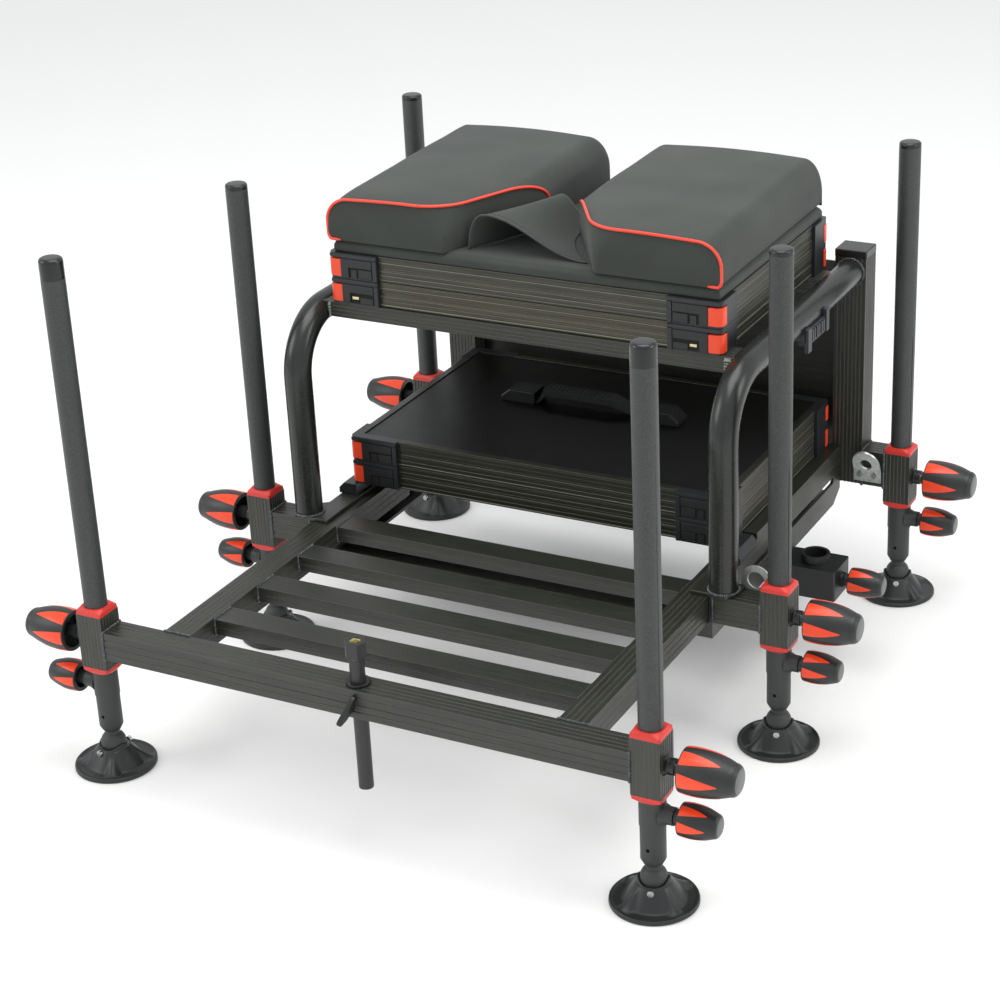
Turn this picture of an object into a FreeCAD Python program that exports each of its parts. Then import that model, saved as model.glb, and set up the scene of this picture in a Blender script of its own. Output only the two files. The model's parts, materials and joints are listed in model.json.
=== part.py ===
import FreeCAD, Part
import math
import os

from FreeCAD import Vector

# Fishing seat box: a six-legged frame that carries two stacks of shallow trays,
# a padded seat on the upper stack and a slatted footplate that slides out in front.
# X to the right as seen from the front, Y to the back, Z up, floor at Z = 0,
# origin on the floor midway between the legs. Millimetres.

# Driving dimensions
TRAY_HALF_X = 240.5
TRAY_DEPTH = 312.0
TRAY_PITCH = 30.0
MID_ROW_FROM_FRONT = 329.0
STACK_FROM_MID_ROW = 47.0
UPPER_STACK_TO_POST = 19.5
LOWER_STACK_TO_POST = 4.5
LEG_FROM_ARCH = 62.5
DECK_Z = 172.0
LOWER_STACK_RISE = 18.5
STACK_SPACING = 232.0
LEG_D = 25.0
LEG_WALL = 1.5
LEG_TOP_FRONT = 585.0
LEG_TOP_MID = 567.0
LEG_TOP_REAR = 569.0
BAR = 32.0
BAR_WALL = 2.0
FOOT_D = 90.0
RUN_GAP = 0.3
FIT_GAP = 0.05

# Posts, arches and rows of legs
POST_W = 38.0
POST_DEPTH = 34.0
POST_CLEAR = 2.5
ARCH_D = 32.0
ARCH_WALL = 2.0
ARCH_BEND_R = 68.0
ARCH_BEFORE_MID_ROW = 3.0
ARCH_X = TRAY_HALF_X + POST_CLEAR + POST_W / 2
LEG_HALF_X = ARCH_X + LEG_FROM_ARCH
ROW_SPAN = MID_ROW_FROM_FRONT + STACK_FROM_MID_ROW + TRAY_DEPTH + UPPER_STACK_TO_POST + BAR / 2
Y_FRONT = -ROW_SPAN / 2
Y_MID = Y_FRONT + MID_ROW_FROM_FRONT
Y_UPPER = Y_MID + STACK_FROM_MID_ROW
Y_POST = Y_UPPER + TRAY_DEPTH + UPPER_STACK_TO_POST
Y_REAR = Y_POST + BAR / 2
Y_LOWER = Y_POST - LOWER_STACK_TO_POST - TRAY_DEPTH
Y_ARCH = Y_MID - ARCH_BEFORE_MID_ROW
Y_BASE = Y_MID - BAR / 2

# Clamp blocks and their bushes
BLOCK = 32.0
BLOCK_H = 63.0
BLOCK_BELOW_DECK = 46.0
BLOCK_Z0 = DECK_Z - BLOCK_BELOW_DECK
BLOCK_Z1 = BLOCK_Z0 + BLOCK_H
BLOCK_FACE_X = LEG_HALF_X - BLOCK / 2
BUSH_H = 7.5
BUSH_SPIGOT_D = LEG_D + 2.0
BUSH_SPIGOT_L = 12.0
BOSS_D = 17.0
BOSS_L = 10.0

# Footplate
RAIL_LENGTH = 464.0
RAIL_OUTSIDE_TRAY = 9.0
RAIL_OUT_X = TRAY_HALF_X + RAIL_OUTSIDE_TRAY
SLAT_H = 18.0
SLAT_WALL = 1.6
SLAT_DROP = 2.0
SLAT_COUNT = 4
SLAT_FIRST = 78.0
SLAT_PITCH = 83.5

# Rod through the front bar, its threaded head, and the wing screw that holds it
ROD_D = 15.8
ROD_BELOW_DECK = 121.5
ROD_HEAD_RISE = 20.0
ROD_HEAD_H = 29.0
ROD_HEAD_AF = 21.0
ROD_THREAD_D = 9.0
ROD_THREAD_L = 25.0
ROD_INSERT_WALL = 2.0
ROD_COLLAR_D = 26.0
ROD_COLLAR_H = 3.0
WING_SHANK_D = 6.0
WING_HALF_W = 13.0
WING_TURN = 55.0
WING_Z = DECK_Z - 0.62 * BAR

# Side channels of the base and what lies on them
SLIDE_GAP = 0.5
WEB_X = RAIL_OUT_X + SLIDE_GAP
WEB_T = 4.0
WEB_OUT_X = WEB_X + WEB_T
CHANNEL_UNDER_RAIL = 19.0
WEB_Z0 = DECK_Z - BAR - CHANNEL_UNDER_RAIL
SHELF_T = 4.0
SHELF_W = 28.0
CHANNEL_CUT = 22.0
SLOT_H = 8.0
SLOT_BELOW_DECK = 18.0
SLOT_FROM_BASE = 120.0
TOP_GAP = 0.4
PLATE_Z = DECK_Z + TOP_GAP
PLATE_T = 4.0
PLATE_TOP = PLATE_Z + PLATE_T
PLATE_TAIL = 28.0
TRAY_RAIL_W = 25.0
TRAY_RAIL_X = WEB_OUT_X - TRAY_RAIL_W
LOW_BEAM_FROM_POST = 40.0

# Heights of the stacks and of the frame that carries them
LOWER_STACK_Z = DECK_Z + LOWER_STACK_RISE
UPPER_STACK_Z = LOWER_STACK_Z + STACK_SPACING
ARCH_RUN_Z = UPPER_STACK_Z - 11.5
CROSSBAR_WALL = 1.8
POST_Z0 = BLOCK_Z0 + 18.0
POST_TOP = UPPER_STACK_Z + 15.0
POST_CAP_T = 2.0
OUTRIGGER_REAR_H = 44.0
BACK_PANEL_T = 3.0

# Knobs: rim diameter, end diameter, length
BIG_KNOB = (47.0, 30.0, 57.0)
SMALL_KNOB = (35.0, 22.0, 40.0)
CLAMP_KNOB = (33.0, 22.0, 40.0)
BIG_KNOB_X = LEG_HALF_X + BLOCK / 2 + 18.0
SMALL_KNOB_X = BIG_KNOB_X - 3.0
BIG_KNOB_Z = (BLOCK_Z0 + BLOCK_Z1) / 2
BIG_SHANK_D = 10.0
SMALL_SHANK_D = 8.0
KNOB_NECK_L = 6.5
KNOB_CAVITY_WALL = 5.0
INSERT_COUNT = 6
INSERT_T = 1.6
INSERT_PROUD = 0.25

# Lower ends of the legs, stems and feet
LEG_CAP_TALL = 22.0
LEG_CAP_LOW = 6.0
SLEEVE_D = LEG_D + 2.5
SLEEVE_L = 29.6
SLEEVE_Z1 = BLOCK_Z0 - BUSH_H - RUN_GAP
SLEEVE_Z0 = SLEEVE_Z1 - SLEEVE_L
SMALL_BOSS_D = 18.5
SMALL_KNOB_Z = SLEEVE_Z0 + 13.4
STEM_D = LEG_D - 2 * LEG_WALL - 2 * FIT_GAP
STEM_INNER_L = 149.0
STEM_END_D = 26.0
STEM_END_BEVEL = 6.5
STEM_PIN_D = 4.0
NECK_D = 16.0
NECK_L = 16.0
BALL_D = 28.0
FOOT_BASE_T = 14.0
BALL_Z = FOOT_BASE_T + BALL_D / 2
STEM_END_Z0 = BALL_Z + NECK_L
FOOT_CUP_D = BALL_D + 8.0
FOOT_CUP_Z = BALL_Z + 2.0
FOOT_WEBS = 4
FOOT_WEB_T = 5.0
FOOT_WEB_TURN = -30.0
FOOT_BOLT_TURN = -75.0
FOOT_BOLT_Z = 21.0

# Trays: ribbed side profiles between moulded corners with sliding catches
PROFILE_T = 9.0
LIP_H = 2.2
LIP_PROUD = 0.5
GROOVE_PART = 0.52
GROOVE_W = 3.0
GROOVE_D = 0.9
CORNER_FRONT_W = 63.0
CORNER_SIDE_W = 40.0
CORNER_PROUD = 3.5
CORNER_T = PROFILE_T + CORNER_PROUD
CORNER_R = 7.0
FLOOR_T = 2.0
TRAY_H = TRAY_PITCH - RUN_GAP
CATCH_W = 16.0
CATCH_H = 18.0
CATCH_T = 4.0
CATCH_WRAP = 12.0
CATCH_PROUD = 0.6
CATCH_BAR_H = 7.0
CATCH_BAR_L = 36.0
CATCH_BAR_T = 3.0
HINGE_R = 3.5
HINGE_PIN_R = 1.5
HINGE_X = 135.0
HINGE_L = 70.0
HINGE_KNUCKLES = 5
HINGE_LEAF_H = 13.0
HINGE_LEAF_T = 1.8
PANEL_T = 3.0
PANEL_DROP = 1.2
LOWER_TRAY_Z = LOWER_STACK_Z
LID_Z = LOWER_TRAY_Z + TRAY_PITCH
UPPER_TRAY_Z = UPPER_STACK_Z
SEAT_TRAY_Z = UPPER_TRAY_Z + TRAY_PITCH
SEAT_Z = SEAT_TRAY_Z + TRAY_H

# Carrying handle on the lid
HANDLE_X0 = -127.0
HANDLE_X1 = 107.0
HANDLE_FROM_FRONT = 181.0
HANDLE_CAP_L = 46.0
HANDLE_CAP_W = 28.0
HANDLE_CAP_H = 16.0
HANDLE_CAP_WALL = 2.5
HANDLE_CAP_SLOPE = 12.0
STRAP_W = 20.0
STRAP_T = 3.5
GRIP_X0 = -68.0
GRIP_X1 = 16.0
GRIP_T = 9.0
GRIP_RISE = 12.0
GRIP_RIBS = 14
GRIP_GROOVE_R = 1.3

# Seat
SEAT_BOARD_T = 14.0
SEAT_BOARD_SET_IN = 1.0
SEAT_BOARD_BEVEL = 5.0
CUSHION_H = 51.5
CUSHION_HALF_GAP = 40.0
CUSHION_NOSE_X = 92.0
CUSHION_SET_IN = 2.5
CUSHION_DEPTH = TRAY_DEPTH - 8.0
CUSHION_R = 28.0
CUSHION_INNER_R = 10.0
CUSHION_FOOT_R = 5.0
CUSHION_CROWN = 2.5
CUSHION_DRAW_IN = 2.0
FLAP_T = 2.0

# Small fittings of the base
LUG_T = 2.5
LUG_W = 34.0
LUG_LEAN = 32.0
LUG_SCREW_R = 3.4
LUG_SCREW_H = 1.8
LUG_SCREW_HALF_GAP = 9.0
RING_LUG_X = BLOCK_FACE_X - 17.5
REAR_LUG_X = BLOCK_FACE_X - 19.5
BUCKLE_FROM_MID_ROW = 211.0
BUCKLE_L = 80.0
BUCKLE_T = 9.0
CLAMP_X0 = WEB_X - 10.0
CLAMP_X1 = CLAMP_X0 + 80.0
CLAMP_Y0 = Y_MID + 183.0
CLAMP_Y1 = CLAMP_Y0 + 48.0
CLAMP_H = 37.0
CLAMP_Z0 = WEB_Z0 - CLAMP_H
CLAMP_BORE_D = 26.0
CLAMP_BORE_X = CLAMP_X0 + 48.0
CLAMP_COLLAR_H = 10.0
CLAMP_BOSS_D = 18.0
CLAMP_BOSS_L = 4.0
CLAMP_KNOB_X = CLAMP_X1 + CLAMP_BOSS_L + KNOB_NECK_L + 0.5


def box(x0, x1, y0, y1, z0, z1):
    return Part.makeBox(x1 - x0, y1 - y0, z1 - z0, Vector(x0, y0, z0))


def rod(radius, start, axis, length):
    return Part.makeCylinder(radius, length, Vector(*start), Vector(*axis))


def extrude(points, direction):
    wire = Part.makePolygon([Vector(*p) for p in points] + [Vector(*points[0])])
    return Part.Face(wire).extrude(Vector(*direction))


def line(p, q):
    return Part.LineSegment(Vector(*p), Vector(*q)).toShape()


def arc(p, q, s):
    return Part.Arc(Vector(*p), Vector(*q), Vector(*s)).toShape()


def spin(edges, axis):
    """Solid of revolution about an axis through the origin."""
    return Part.Face(Part.Wire(edges)).revolve(Vector(0, 0, 0), Vector(*axis), 360)


def mirror_x(shape):
    return shape.mirror(Vector(0, 0, 0), Vector(1, 0, 0))


def both_sides(shape):
    return [shape, mirror_x(shape)]


def moved(shape, x=0.0, y=0.0, z=0.0):
    out = shape.copy()
    out.translate(Vector(x, y, z))
    return out


def turned(shape, axis, degrees):
    out = shape.copy()
    out.rotate(Vector(0, 0, 0), Vector(*axis), degrees)
    return out


def join(shapes):
    out = shapes[0]
    for other in shapes[1:]:
        out = out.fuse(other)
    return out.removeSplitter()


def upright_edge(shape, x, y):
    """Edges of a shape that stand at x, y."""
    found = []
    for e in shape.Edges:
        if all(abs(v.X - x) < 1e-6 and abs(v.Y - y) < 1e-6 for v in e.Vertexes):
            found.append(e)
    return found


def grooved_side(length, count, groove_w, groove_d):
    """Outline of one side of a section, from 0 to length, with notches cut inwards (negative)."""
    step = length / (count + 1)
    points = [(0.0, 0.0)]
    for i in range(count):
        mid = step * (i + 1)
        points.append((mid - groove_w / 2, 0.0))
        points.append((mid - groove_w / 2, -groove_d))
        points.append((mid + groove_w / 2, -groove_d))
        points.append((mid + groove_w / 2, 0.0))
    return points


def ribbed_section(width, height, across, along, groove_w=1.2, groove_d=0.7):
    """Outline of an extruded bar, centred on 0,0, as (u, v) points, with grooves on its four sides."""
    points = []
    for s, t in grooved_side(width, across, groove_w, groove_d):
        points.append((-width / 2 + s, -height / 2 - t))
    for s, t in grooved_side(height, along, groove_w, groove_d):
        points.append((width / 2 + t, -height / 2 + s))
    for s, t in grooved_side(width, across, groove_w, groove_d):
        points.append((width / 2 - s, height / 2 + t))
    for s, t in grooved_side(height, along, groove_w, groove_d):
        points.append((-width / 2 - t, height / 2 - s))
    return points


def bar_x(x0, x1, yc, zc, depth, height, across, along, wall=BAR_WALL):
    """Hollow ribbed bar that runs along X."""
    outer = [(x0, yc + u, zc + v) for u, v in ribbed_section(depth, height, across, along)]
    core = box(x0, x1, yc - depth / 2 + wall, yc + depth / 2 - wall,
               zc - height / 2 + wall, zc + height / 2 - wall)
    return extrude(outer, (x1 - x0, 0, 0)).cut(core)


def bar_y(y0, y1, xc, zc, width, height, across, along, wall=BAR_WALL):
    """Hollow ribbed bar that runs along Y."""
    outer = [(xc + u, y0, zc + v) for u, v in ribbed_section(width, height, across, along)]
    core = box(xc - width / 2 + wall, xc + width / 2 - wall, y0, y1,
               zc - height / 2 + wall, zc + height / 2 - wall)
    return extrude(outer, (0, y1 - y0, 0)).cut(core)


def bar_z(z0, z1, xc, yc, width, depth, across, along, wall=BAR_WALL):
    """Hollow ribbed bar that stands along Z."""
    outer = [(xc + u, yc + v, z0) for u, v in ribbed_section(width, depth, across, along)]
    core = box(xc - width / 2 + wall, xc + width / 2 - wall,
               yc - depth / 2 + wall, yc + depth / 2 - wall, z0, z1)
    return extrude(outer, (0, 0, z1 - z0)).cut(core)


# Footplate: front bar, two side rails and the slats between them

def front_beam():
    beam = bar_x(-BLOCK_FACE_X, BLOCK_FACE_X, Y_FRONT, DECK_Z - BAR / 2, BAR, BAR, 4, 3)
    beam = beam.cut(rod(ROD_D / 2 + FIT_GAP, (0, Y_FRONT, DECK_Z - 2 * BAR), (0, 0, 1), 3 * BAR))
    return beam.cut(rod(WING_SHANK_D / 2 + FIT_GAP, (0, Y_FRONT, WING_Z), (0, -1, 0), BAR))


def footplate_rail():
    y0 = Y_FRONT + BAR / 2
    return bar_y(y0, y0 + RAIL_LENGTH, RAIL_OUT_X - BAR / 2, DECK_Z - BAR / 2, BAR, BAR, 4, 3)


def slats():
    half = RAIL_OUT_X - BAR
    zc = DECK_Z - SLAT_DROP - SLAT_H / 2
    out = []
    for i in range(SLAT_COUNT):
        yc = Y_FRONT + SLAT_FIRST + i * SLAT_PITCH
        out.append(bar_x(-half, half, yc, zc, BAR, SLAT_H, 0, 1, SLAT_WALL))
    return out


def hexagon(across_flats, z0, height, x, y):
    radius = across_flats / math.sqrt(3)
    points = []
    for i in range(6):
        a = math.radians(60 * i)
        points.append((x + radius * math.cos(a), y + radius * math.sin(a), z0))
    return extrude(points, (0, 0, height))


def accessory_rod():
    """Shaft, hexagonal head and threaded insert."""
    z0 = DECK_Z - ROD_BELOW_DECK
    z1 = DECK_Z + ROD_HEAD_RISE
    z2 = z1 + ROD_HEAD_H
    thread_at = (0, Y_FRONT, z2 - ROD_THREAD_L)
    shaft = rod(ROD_D / 2, (0, Y_FRONT, z0), (0, 0, 1), z1 - z0)
    head = hexagon(ROD_HEAD_AF, z1, ROD_HEAD_H, 0, Y_FRONT)
    insert = rod(ROD_THREAD_D / 2 + ROD_INSERT_WALL, thread_at, (0, 0, 1), ROD_THREAD_L)
    thread = rod(ROD_THREAD_D / 2, thread_at, (0, 0, 1), ROD_THREAD_L)
    return [shaft, head.cut(insert), insert.cut(thread)]


def rod_collar():
    ring = rod(ROD_COLLAR_D / 2, (0, Y_FRONT, DECK_Z), (0, 0, 1), ROD_COLLAR_H)
    return ring.cut(rod(ROD_D / 2 + FIT_GAP, (0, Y_FRONT, DECK_Z), (0, 0, 1), ROD_COLLAR_H))


def wing_screw():
    """Screw with a turned U-shaped wing, drawn about its own axis and then placed."""
    face_y = -BAR / 2
    tip_y = -ROD_D / 2 - RUN_GAP
    shank = rod(WING_SHANK_D / 2, (0, tip_y, 0), (0, -1, 0), tip_y - face_y + 10.0)
    hub = rod(6.0, (0, face_y - 2.0, 0), (0, -1, 0), 10.0)
    wing = box(-WING_HALF_W, WING_HALF_W, face_y - 20.0, face_y - 9.0, -4.5, 4.5)
    gap = box(5.5 - WING_HALF_W, WING_HALF_W - 5.5, face_y - 21.0, face_y - 14.0, -5.0, 5.0)
    wing = turned(join([hub, wing.cut(gap)]), (0, 1, 0), WING_TURN)
    return moved(join([shank, wing]), 0, Y_FRONT, WING_Z)


# Clamp blocks: a square ribbed block with a bore for the leg, and a threaded boss for the knob

def clamp_block(y):
    outline = ribbed_section(BLOCK, BLOCK, 6, 6, 1.4, 0.6)
    block = extrude([(LEG_HALF_X + u, y + v, BLOCK_Z0) for u, v in outline], (0, 0, BLOCK_H))
    block = block.cut(rod(BUSH_SPIGOT_D / 2, (LEG_HALF_X, y, BLOCK_Z0), (0, 0, 1), BLOCK_H))
    face_x = LEG_HALF_X + BLOCK / 2
    boss = rod(BOSS_D / 2, (face_x, y, BIG_KNOB_Z), (1, 0, 0), BOSS_L)
    collar = Part.makeCone(BOSS_D / 2 + 3.0, BOSS_D / 2, 3.0, Vector(face_x, y, BIG_KNOB_Z), Vector(1, 0, 0))
    thread = rod(BIG_SHANK_D / 2 + FIT_GAP, (LEG_HALF_X, y, BIG_KNOB_Z), (1, 0, 0), BLOCK + BOSS_L)
    return [block.cut(thread), join([boss, collar]).cut(thread)]


def rounded_square(side, radius, z):
    d = side / 2 - radius
    edges = []
    corner_centres = [(d, d), (-d, d), (-d, -d), (d, -d)]
    for i, (cx, cy) in enumerate(corner_centres):
        angles = [math.radians(90 * i + turn) for turn in (0, 45, 90)]
        p = [(cx + radius * math.cos(a), cy + radius * math.sin(a), z) for a in angles]
        edges.append(arc(p[0], p[1], p[2]))
        nx, ny = corner_centres[(i + 1) % 4]
        edges.append(line(p[2], (nx + radius * math.cos(angles[2]), ny + radius * math.sin(angles[2]), z)))
    return Part.Wire(edges)


def bush(y, top):
    """Collar that guides the leg: square where it meets the block, rounder and smaller away from it."""
    square = rounded_square(BLOCK, 1.5, 0.0)
    middle = rounded_square(BLOCK, 3.0, BUSH_H * 0.55)
    small = rounded_square(BLOCK - 3.5, 11.0, BUSH_H)
    collar = Part.makeLoft([square, middle, small], True, True)
    spigot = rod(BUSH_SPIGOT_D / 2, (0, 0, -BUSH_SPIGOT_L), (0, 0, 1), BUSH_SPIGOT_L + 1.0)
    bore = rod(LEG_D / 2 + FIT_GAP, (0, 0, -BUSH_SPIGOT_L), (0, 0, 1), BUSH_SPIGOT_L + 2 * BUSH_H)
    body = join([collar, spigot]).cut(bore)
    if not top:
        body = turned(body, (1, 0, 0), 180)
    return moved(body, LEG_HALF_X, y, BLOCK_Z1 if top else BLOCK_Z0)


# Legs

def leg_cap(top_z, height, rounding):
    """Push-in end cap, as wide as the tube, with a rounded top."""
    r = LEG_D / 2
    z0 = top_z - height
    return spin([
        line((0, 0, z0), (r, 0, z0)),
        line((r, 0, z0), (r, 0, top_z - 2 * rounding)),
        arc((r, 0, top_z - 2 * rounding), (r - 0.6 * rounding, 0, top_z - 0.6 * rounding),
            (r - 2 * rounding, 0, top_z)),
        line((r - 2 * rounding, 0, top_z), (0, 0, top_z)),
        line((0, 0, top_z), (0, 0, z0)),
    ], (0, 0, 1))


def leg(y, top_z, tall_cap):
    """Tube, lower sleeve with the boss of the small knob, and cap."""
    cap_h = LEG_CAP_TALL if tall_cap else LEG_CAP_LOW
    seat_z = SLEEVE_Z0 + 1.0
    bore_r = LEG_D / 2 - LEG_WALL
    boss_l = SMALL_KNOB_X - LEG_HALF_X - KNOB_NECK_L - 0.5
    tube = rod(LEG_D / 2, (0, 0, seat_z), (0, 0, 1), top_z - cap_h - seat_z)
    sleeve = rod(SLEEVE_D / 2, (0, 0, SLEEVE_Z0), (0, 0, 1), SLEEVE_L)
    boss = rod(SMALL_BOSS_D / 2, (0, 0, SMALL_KNOB_Z), (1, 0, 0), boss_l)
    root = Part.makeCone(SMALL_BOSS_D / 2 + 3.0, SMALL_BOSS_D / 2, 8.0, Vector(LEG_D / 2 - 3.0, 0, SMALL_KNOB_Z),
                         Vector(1, 0, 0))
    root = root.common(box(0, SLEEVE_D, -SLEEVE_D, SLEEVE_D, SLEEVE_Z0, SLEEVE_Z1))
    sleeve = join([sleeve, boss, root]).cut(rod(LEG_D / 2, (0, 0, seat_z), (0, 0, 1), SLEEVE_L))
    shank_hole = rod(SMALL_SHANK_D / 2 + FIT_GAP, (0, 0, SMALL_KNOB_Z), (1, 0, 0), boss_l + 1.0)
    bore = rod(bore_r, (0, 0, SLEEVE_Z0 - 1.0), (0, 0, 1), top_z)
    solids = [s.cut(bore).cut(shank_hole) for s in (tube, sleeve)]
    solids.append(leg_cap(top_z, cap_h, 2.0 if tall_cap else 1.5))
    return [moved(s, LEG_HALF_X, y) for s in solids]


def stem(y):
    """Inner leg that telescopes out of the leg, and the end fitting on it with its neck and ball."""
    z1 = SLEEVE_Z0 - RUN_GAP
    z_end = STEM_END_Z0 + STEM_END_BEVEL
    inner = rod(STEM_D / 2, (0, 0, z1), (0, 0, 1), STEM_INNER_L)
    end = rod(STEM_END_D / 2, (0, 0, z_end), (0, 0, 1), z1 - z_end)
    bevel = Part.makeCone(NECK_D / 2 + 1.5, STEM_END_D / 2, STEM_END_BEVEL, Vector(0, 0, STEM_END_Z0),
                          Vector(0, 0, 1))
    neck = rod(NECK_D / 2, (0, 0, BALL_Z), (0, 0, 1), NECK_L + 1.0)
    ball = Part.makeSphere(BALL_D / 2, Vector(0, 0, BALL_Z))
    pin_hole = rod(STEM_PIN_D / 2, (0, -STEM_END_D, z_end + 14.0), (0, 1, 0), 2 * STEM_END_D)
    fitting = join([end, bevel, neck, ball]).cut(pin_hole)
    return [moved(solid, LEG_HALF_X, y) for solid in (inner, fitting)]


def foot(y):
    """Disc foot: a shallow dish round a cup that holds the ball, with webs, and two clamp bolts."""
    r = FOOT_D / 2
    cup_r = FOOT_CUP_D / 2
    cup_foot_z = FOOT_BASE_T + 1.0
    dish = spin([
        line((0, 0, 0), (r - 1.5, 0, 0)),
        arc((r - 1.5, 0, 0), (r, 0, 1.6), (r - 1.2, 0, 3.4)),
        arc((r - 1.2, 0, 3.4), (r * 0.66, 0, 8.0), (cup_r + 2.5, 0, cup_foot_z)),
        line((cup_r + 2.5, 0, cup_foot_z), (cup_r, 0, FOOT_CUP_Z)),
        line((cup_r, 0, FOOT_CUP_Z), (0, 0, FOOT_CUP_Z)),
        line((0, 0, FOOT_CUP_Z), (0, 0, 0)),
    ], (0, 0, 1))
    half = FOOT_WEB_T / 2
    web = extrude([(cup_r - 1.0, -half, 2.0), (r - 4.0, -half, 2.0), (r - 4.0, -half, 4.5),
                   (cup_r - 1.0, -half, FOOT_CUP_Z - 3.0)], (0, FOOT_WEB_T, 0))
    webs = [turned(web, (0, 0, 1), FOOT_WEB_TURN + 360 / FOOT_WEBS * i) for i in range(FOOT_WEBS)]
    body = join([dish] + webs).cut(Part.makeSphere(BALL_D / 2 + RUN_GAP, Vector(0, 0, BALL_Z)))
    bolt = rod(3.5, (cup_r + 0.5, 0, FOOT_BOLT_Z), (1, 0, 0), 3.5)
    bolts = [turned(bolt, (0, 0, 1), FOOT_BOLT_TURN + turn).cut(body) for turn in (0, 180)]
    return [moved(solid, LEG_HALF_X, y) for solid in [body] + bolts]


# Knobs

def knob_barrel(size, offset):
    """Tapered barrel along +X from its rim at x = 0, with every radius changed by offset."""
    rim_d, end_d, length = size
    r0, r1 = rim_d / 2 + offset, end_d / 2 + offset
    shoulder = length * 0.88
    tip = length + offset
    return spin([
        line((0, 0, 0), (0, 0, r0 - 1.0)),
        arc((0, 0, r0 - 1.0), (length * 0.36, 0, 0.985 * r0), (shoulder, 0, r1 + 1.6)),
        arc((shoulder, 0, r1 + 1.6), (length * 0.965, 0, r1 - 0.2), (tip, 0, r1 - 3.0)),
        line((tip, 0, r1 - 3.0), (tip, 0, 0)),
        line((tip, 0, 0), (0, 0, 0)),
    ], (1, 0, 0))


def knob_inserts(size):
    """Coloured wedges let into the barrel, wide at the rim and pointed towards the end."""
    rim_d, end_d, length = size
    shell = knob_barrel(size, INSERT_PROUD).cut(knob_barrel(size, -INSERT_T))
    half = math.pi * rim_d / 2 / INSERT_COUNT * 0.62
    x0, x1 = 1.2, length * 0.72
    wedge = Part.Face(Part.Wire([
        line((x0, -half, 0), (x0, half, 0)),
        arc((x0, half, 0), (x1 * 0.55, half * 0.66, 0), (x1, 0.4, 0)),
        line((x1, 0.4, 0), (x1, -0.4, 0)),
        arc((x1, -0.4, 0), (x1 * 0.55, -half * 0.66, 0), (x0, -half, 0)),
    ])).extrude(Vector(0, 0, rim_d))
    piece = shell.common(wedge)
    return [turned(piece, (1, 0, 0), 360 / INSERT_COUNT * (i + 0.5)) for i in range(INSERT_COUNT)]


def knob(size, shank_d, shank_l, neck_d):
    """Barrel open at the back round its neck, steel stud towards -X, and inserts."""
    rim_d, end_d, length = size
    inserts = knob_inserts(size)
    cavity = rod(rim_d / 2 - KNOB_CAVITY_WALL, (0, 0, 0), (1, 0, 0), length * 0.22)
    neck = rod(neck_d / 2, (-KNOB_NECK_L, 0, 0), (1, 0, 0), KNOB_NECK_L + length * 0.3)
    stud = rod(shank_d / 2, (-shank_l, 0, 0), (1, 0, 0), shank_l + length * 0.25)
    body = join([knob_barrel(size, 0.0).cut(cavity), neck]).cut(stud)
    for piece in inserts:
        body = body.cut(piece)
    return [body, stud] + inserts


def placed(solids, x, y, z):
    return [moved(s, x, y, z) for s in solids]


# Base frame

def side_channel():
    """Angle beside the footplate rail: web with a long slot and a bottom shelf."""
    web = extrude([(WEB_X, Y_BASE, WEB_Z0), (WEB_X, Y_POST - CHANNEL_CUT, WEB_Z0),
                   (WEB_X, Y_POST, WEB_Z0 + 14.0), (WEB_X, Y_POST, PLATE_Z), (WEB_X, Y_BASE, PLATE_Z)],
                  (WEB_T, 0, 0))
    shelf = box(WEB_X - SHELF_W, WEB_X, Y_BASE, Y_POST - CHANNEL_CUT, WEB_Z0, WEB_Z0 + SHELF_T)
    y0 = Y_BASE + SLOT_FROM_BASE
    y1 = Y_POST - CHANNEL_CUT - SLOT_H / 2
    zc = DECK_Z - SLOT_BELOW_DECK
    slot = box(WEB_X - 1, WEB_OUT_X + 1, y0, y1, zc - SLOT_H / 2, zc + SLOT_H / 2)
    ends = [rod(SLOT_H / 2, (WEB_X - 1, y, zc), (1, 0, 0), WEB_T + 2) for y in (y0, y1)]
    return join([web, shelf]).cut(join([slot] + ends))


def tray_rail():
    """Angle along the top of a side channel; the lower stack stands on it."""
    y0 = Y_LOWER + 50.0
    flange = box(TRAY_RAIL_X, WEB_OUT_X, Y_BASE + BAR + PLATE_TAIL, Y_POST, PLATE_Z, PLATE_TOP)
    upright = box(WEB_X, WEB_OUT_X, y0, Y_POST, PLATE_TOP - 0.5, LOWER_STACK_Z)
    lip = box(TRAY_RAIL_X, WEB_OUT_X, y0, Y_POST, LOWER_STACK_Z - 3.0, LOWER_STACK_Z)
    return join([flange, upright, lip])


def low_beams():
    """Flat bars on the shelves of both channels; the footplate rails slide on them."""
    z0 = WEB_Z0 + SHELF_T
    z1 = DECK_Z - BAR - RUN_GAP
    return [bar_x(-WEB_X, WEB_X, yc, (z0 + z1) / 2, BAR, z1 - z0, 0, 0)
            for yc in (Y_MID, Y_POST - LOW_BEAM_FROM_POST)]


def outriggers():
    """Bars that carry the clamp blocks: square ones at mid length, taller ones at the back."""
    rear_x = ARCH_X + POST_W / 2
    mid = bar_x(WEB_OUT_X, BLOCK_FACE_X, Y_MID, PLATE_Z - BAR / 2, BAR, BAR, 4, 4)
    rear = bar_x(rear_x, BLOCK_FACE_X, Y_REAR, POST_Z0 + OUTRIGGER_REAR_H / 2, BAR, OUTRIGGER_REAR_H, 4, 0)
    return both_sides(mid) + both_sides(rear)


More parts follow.
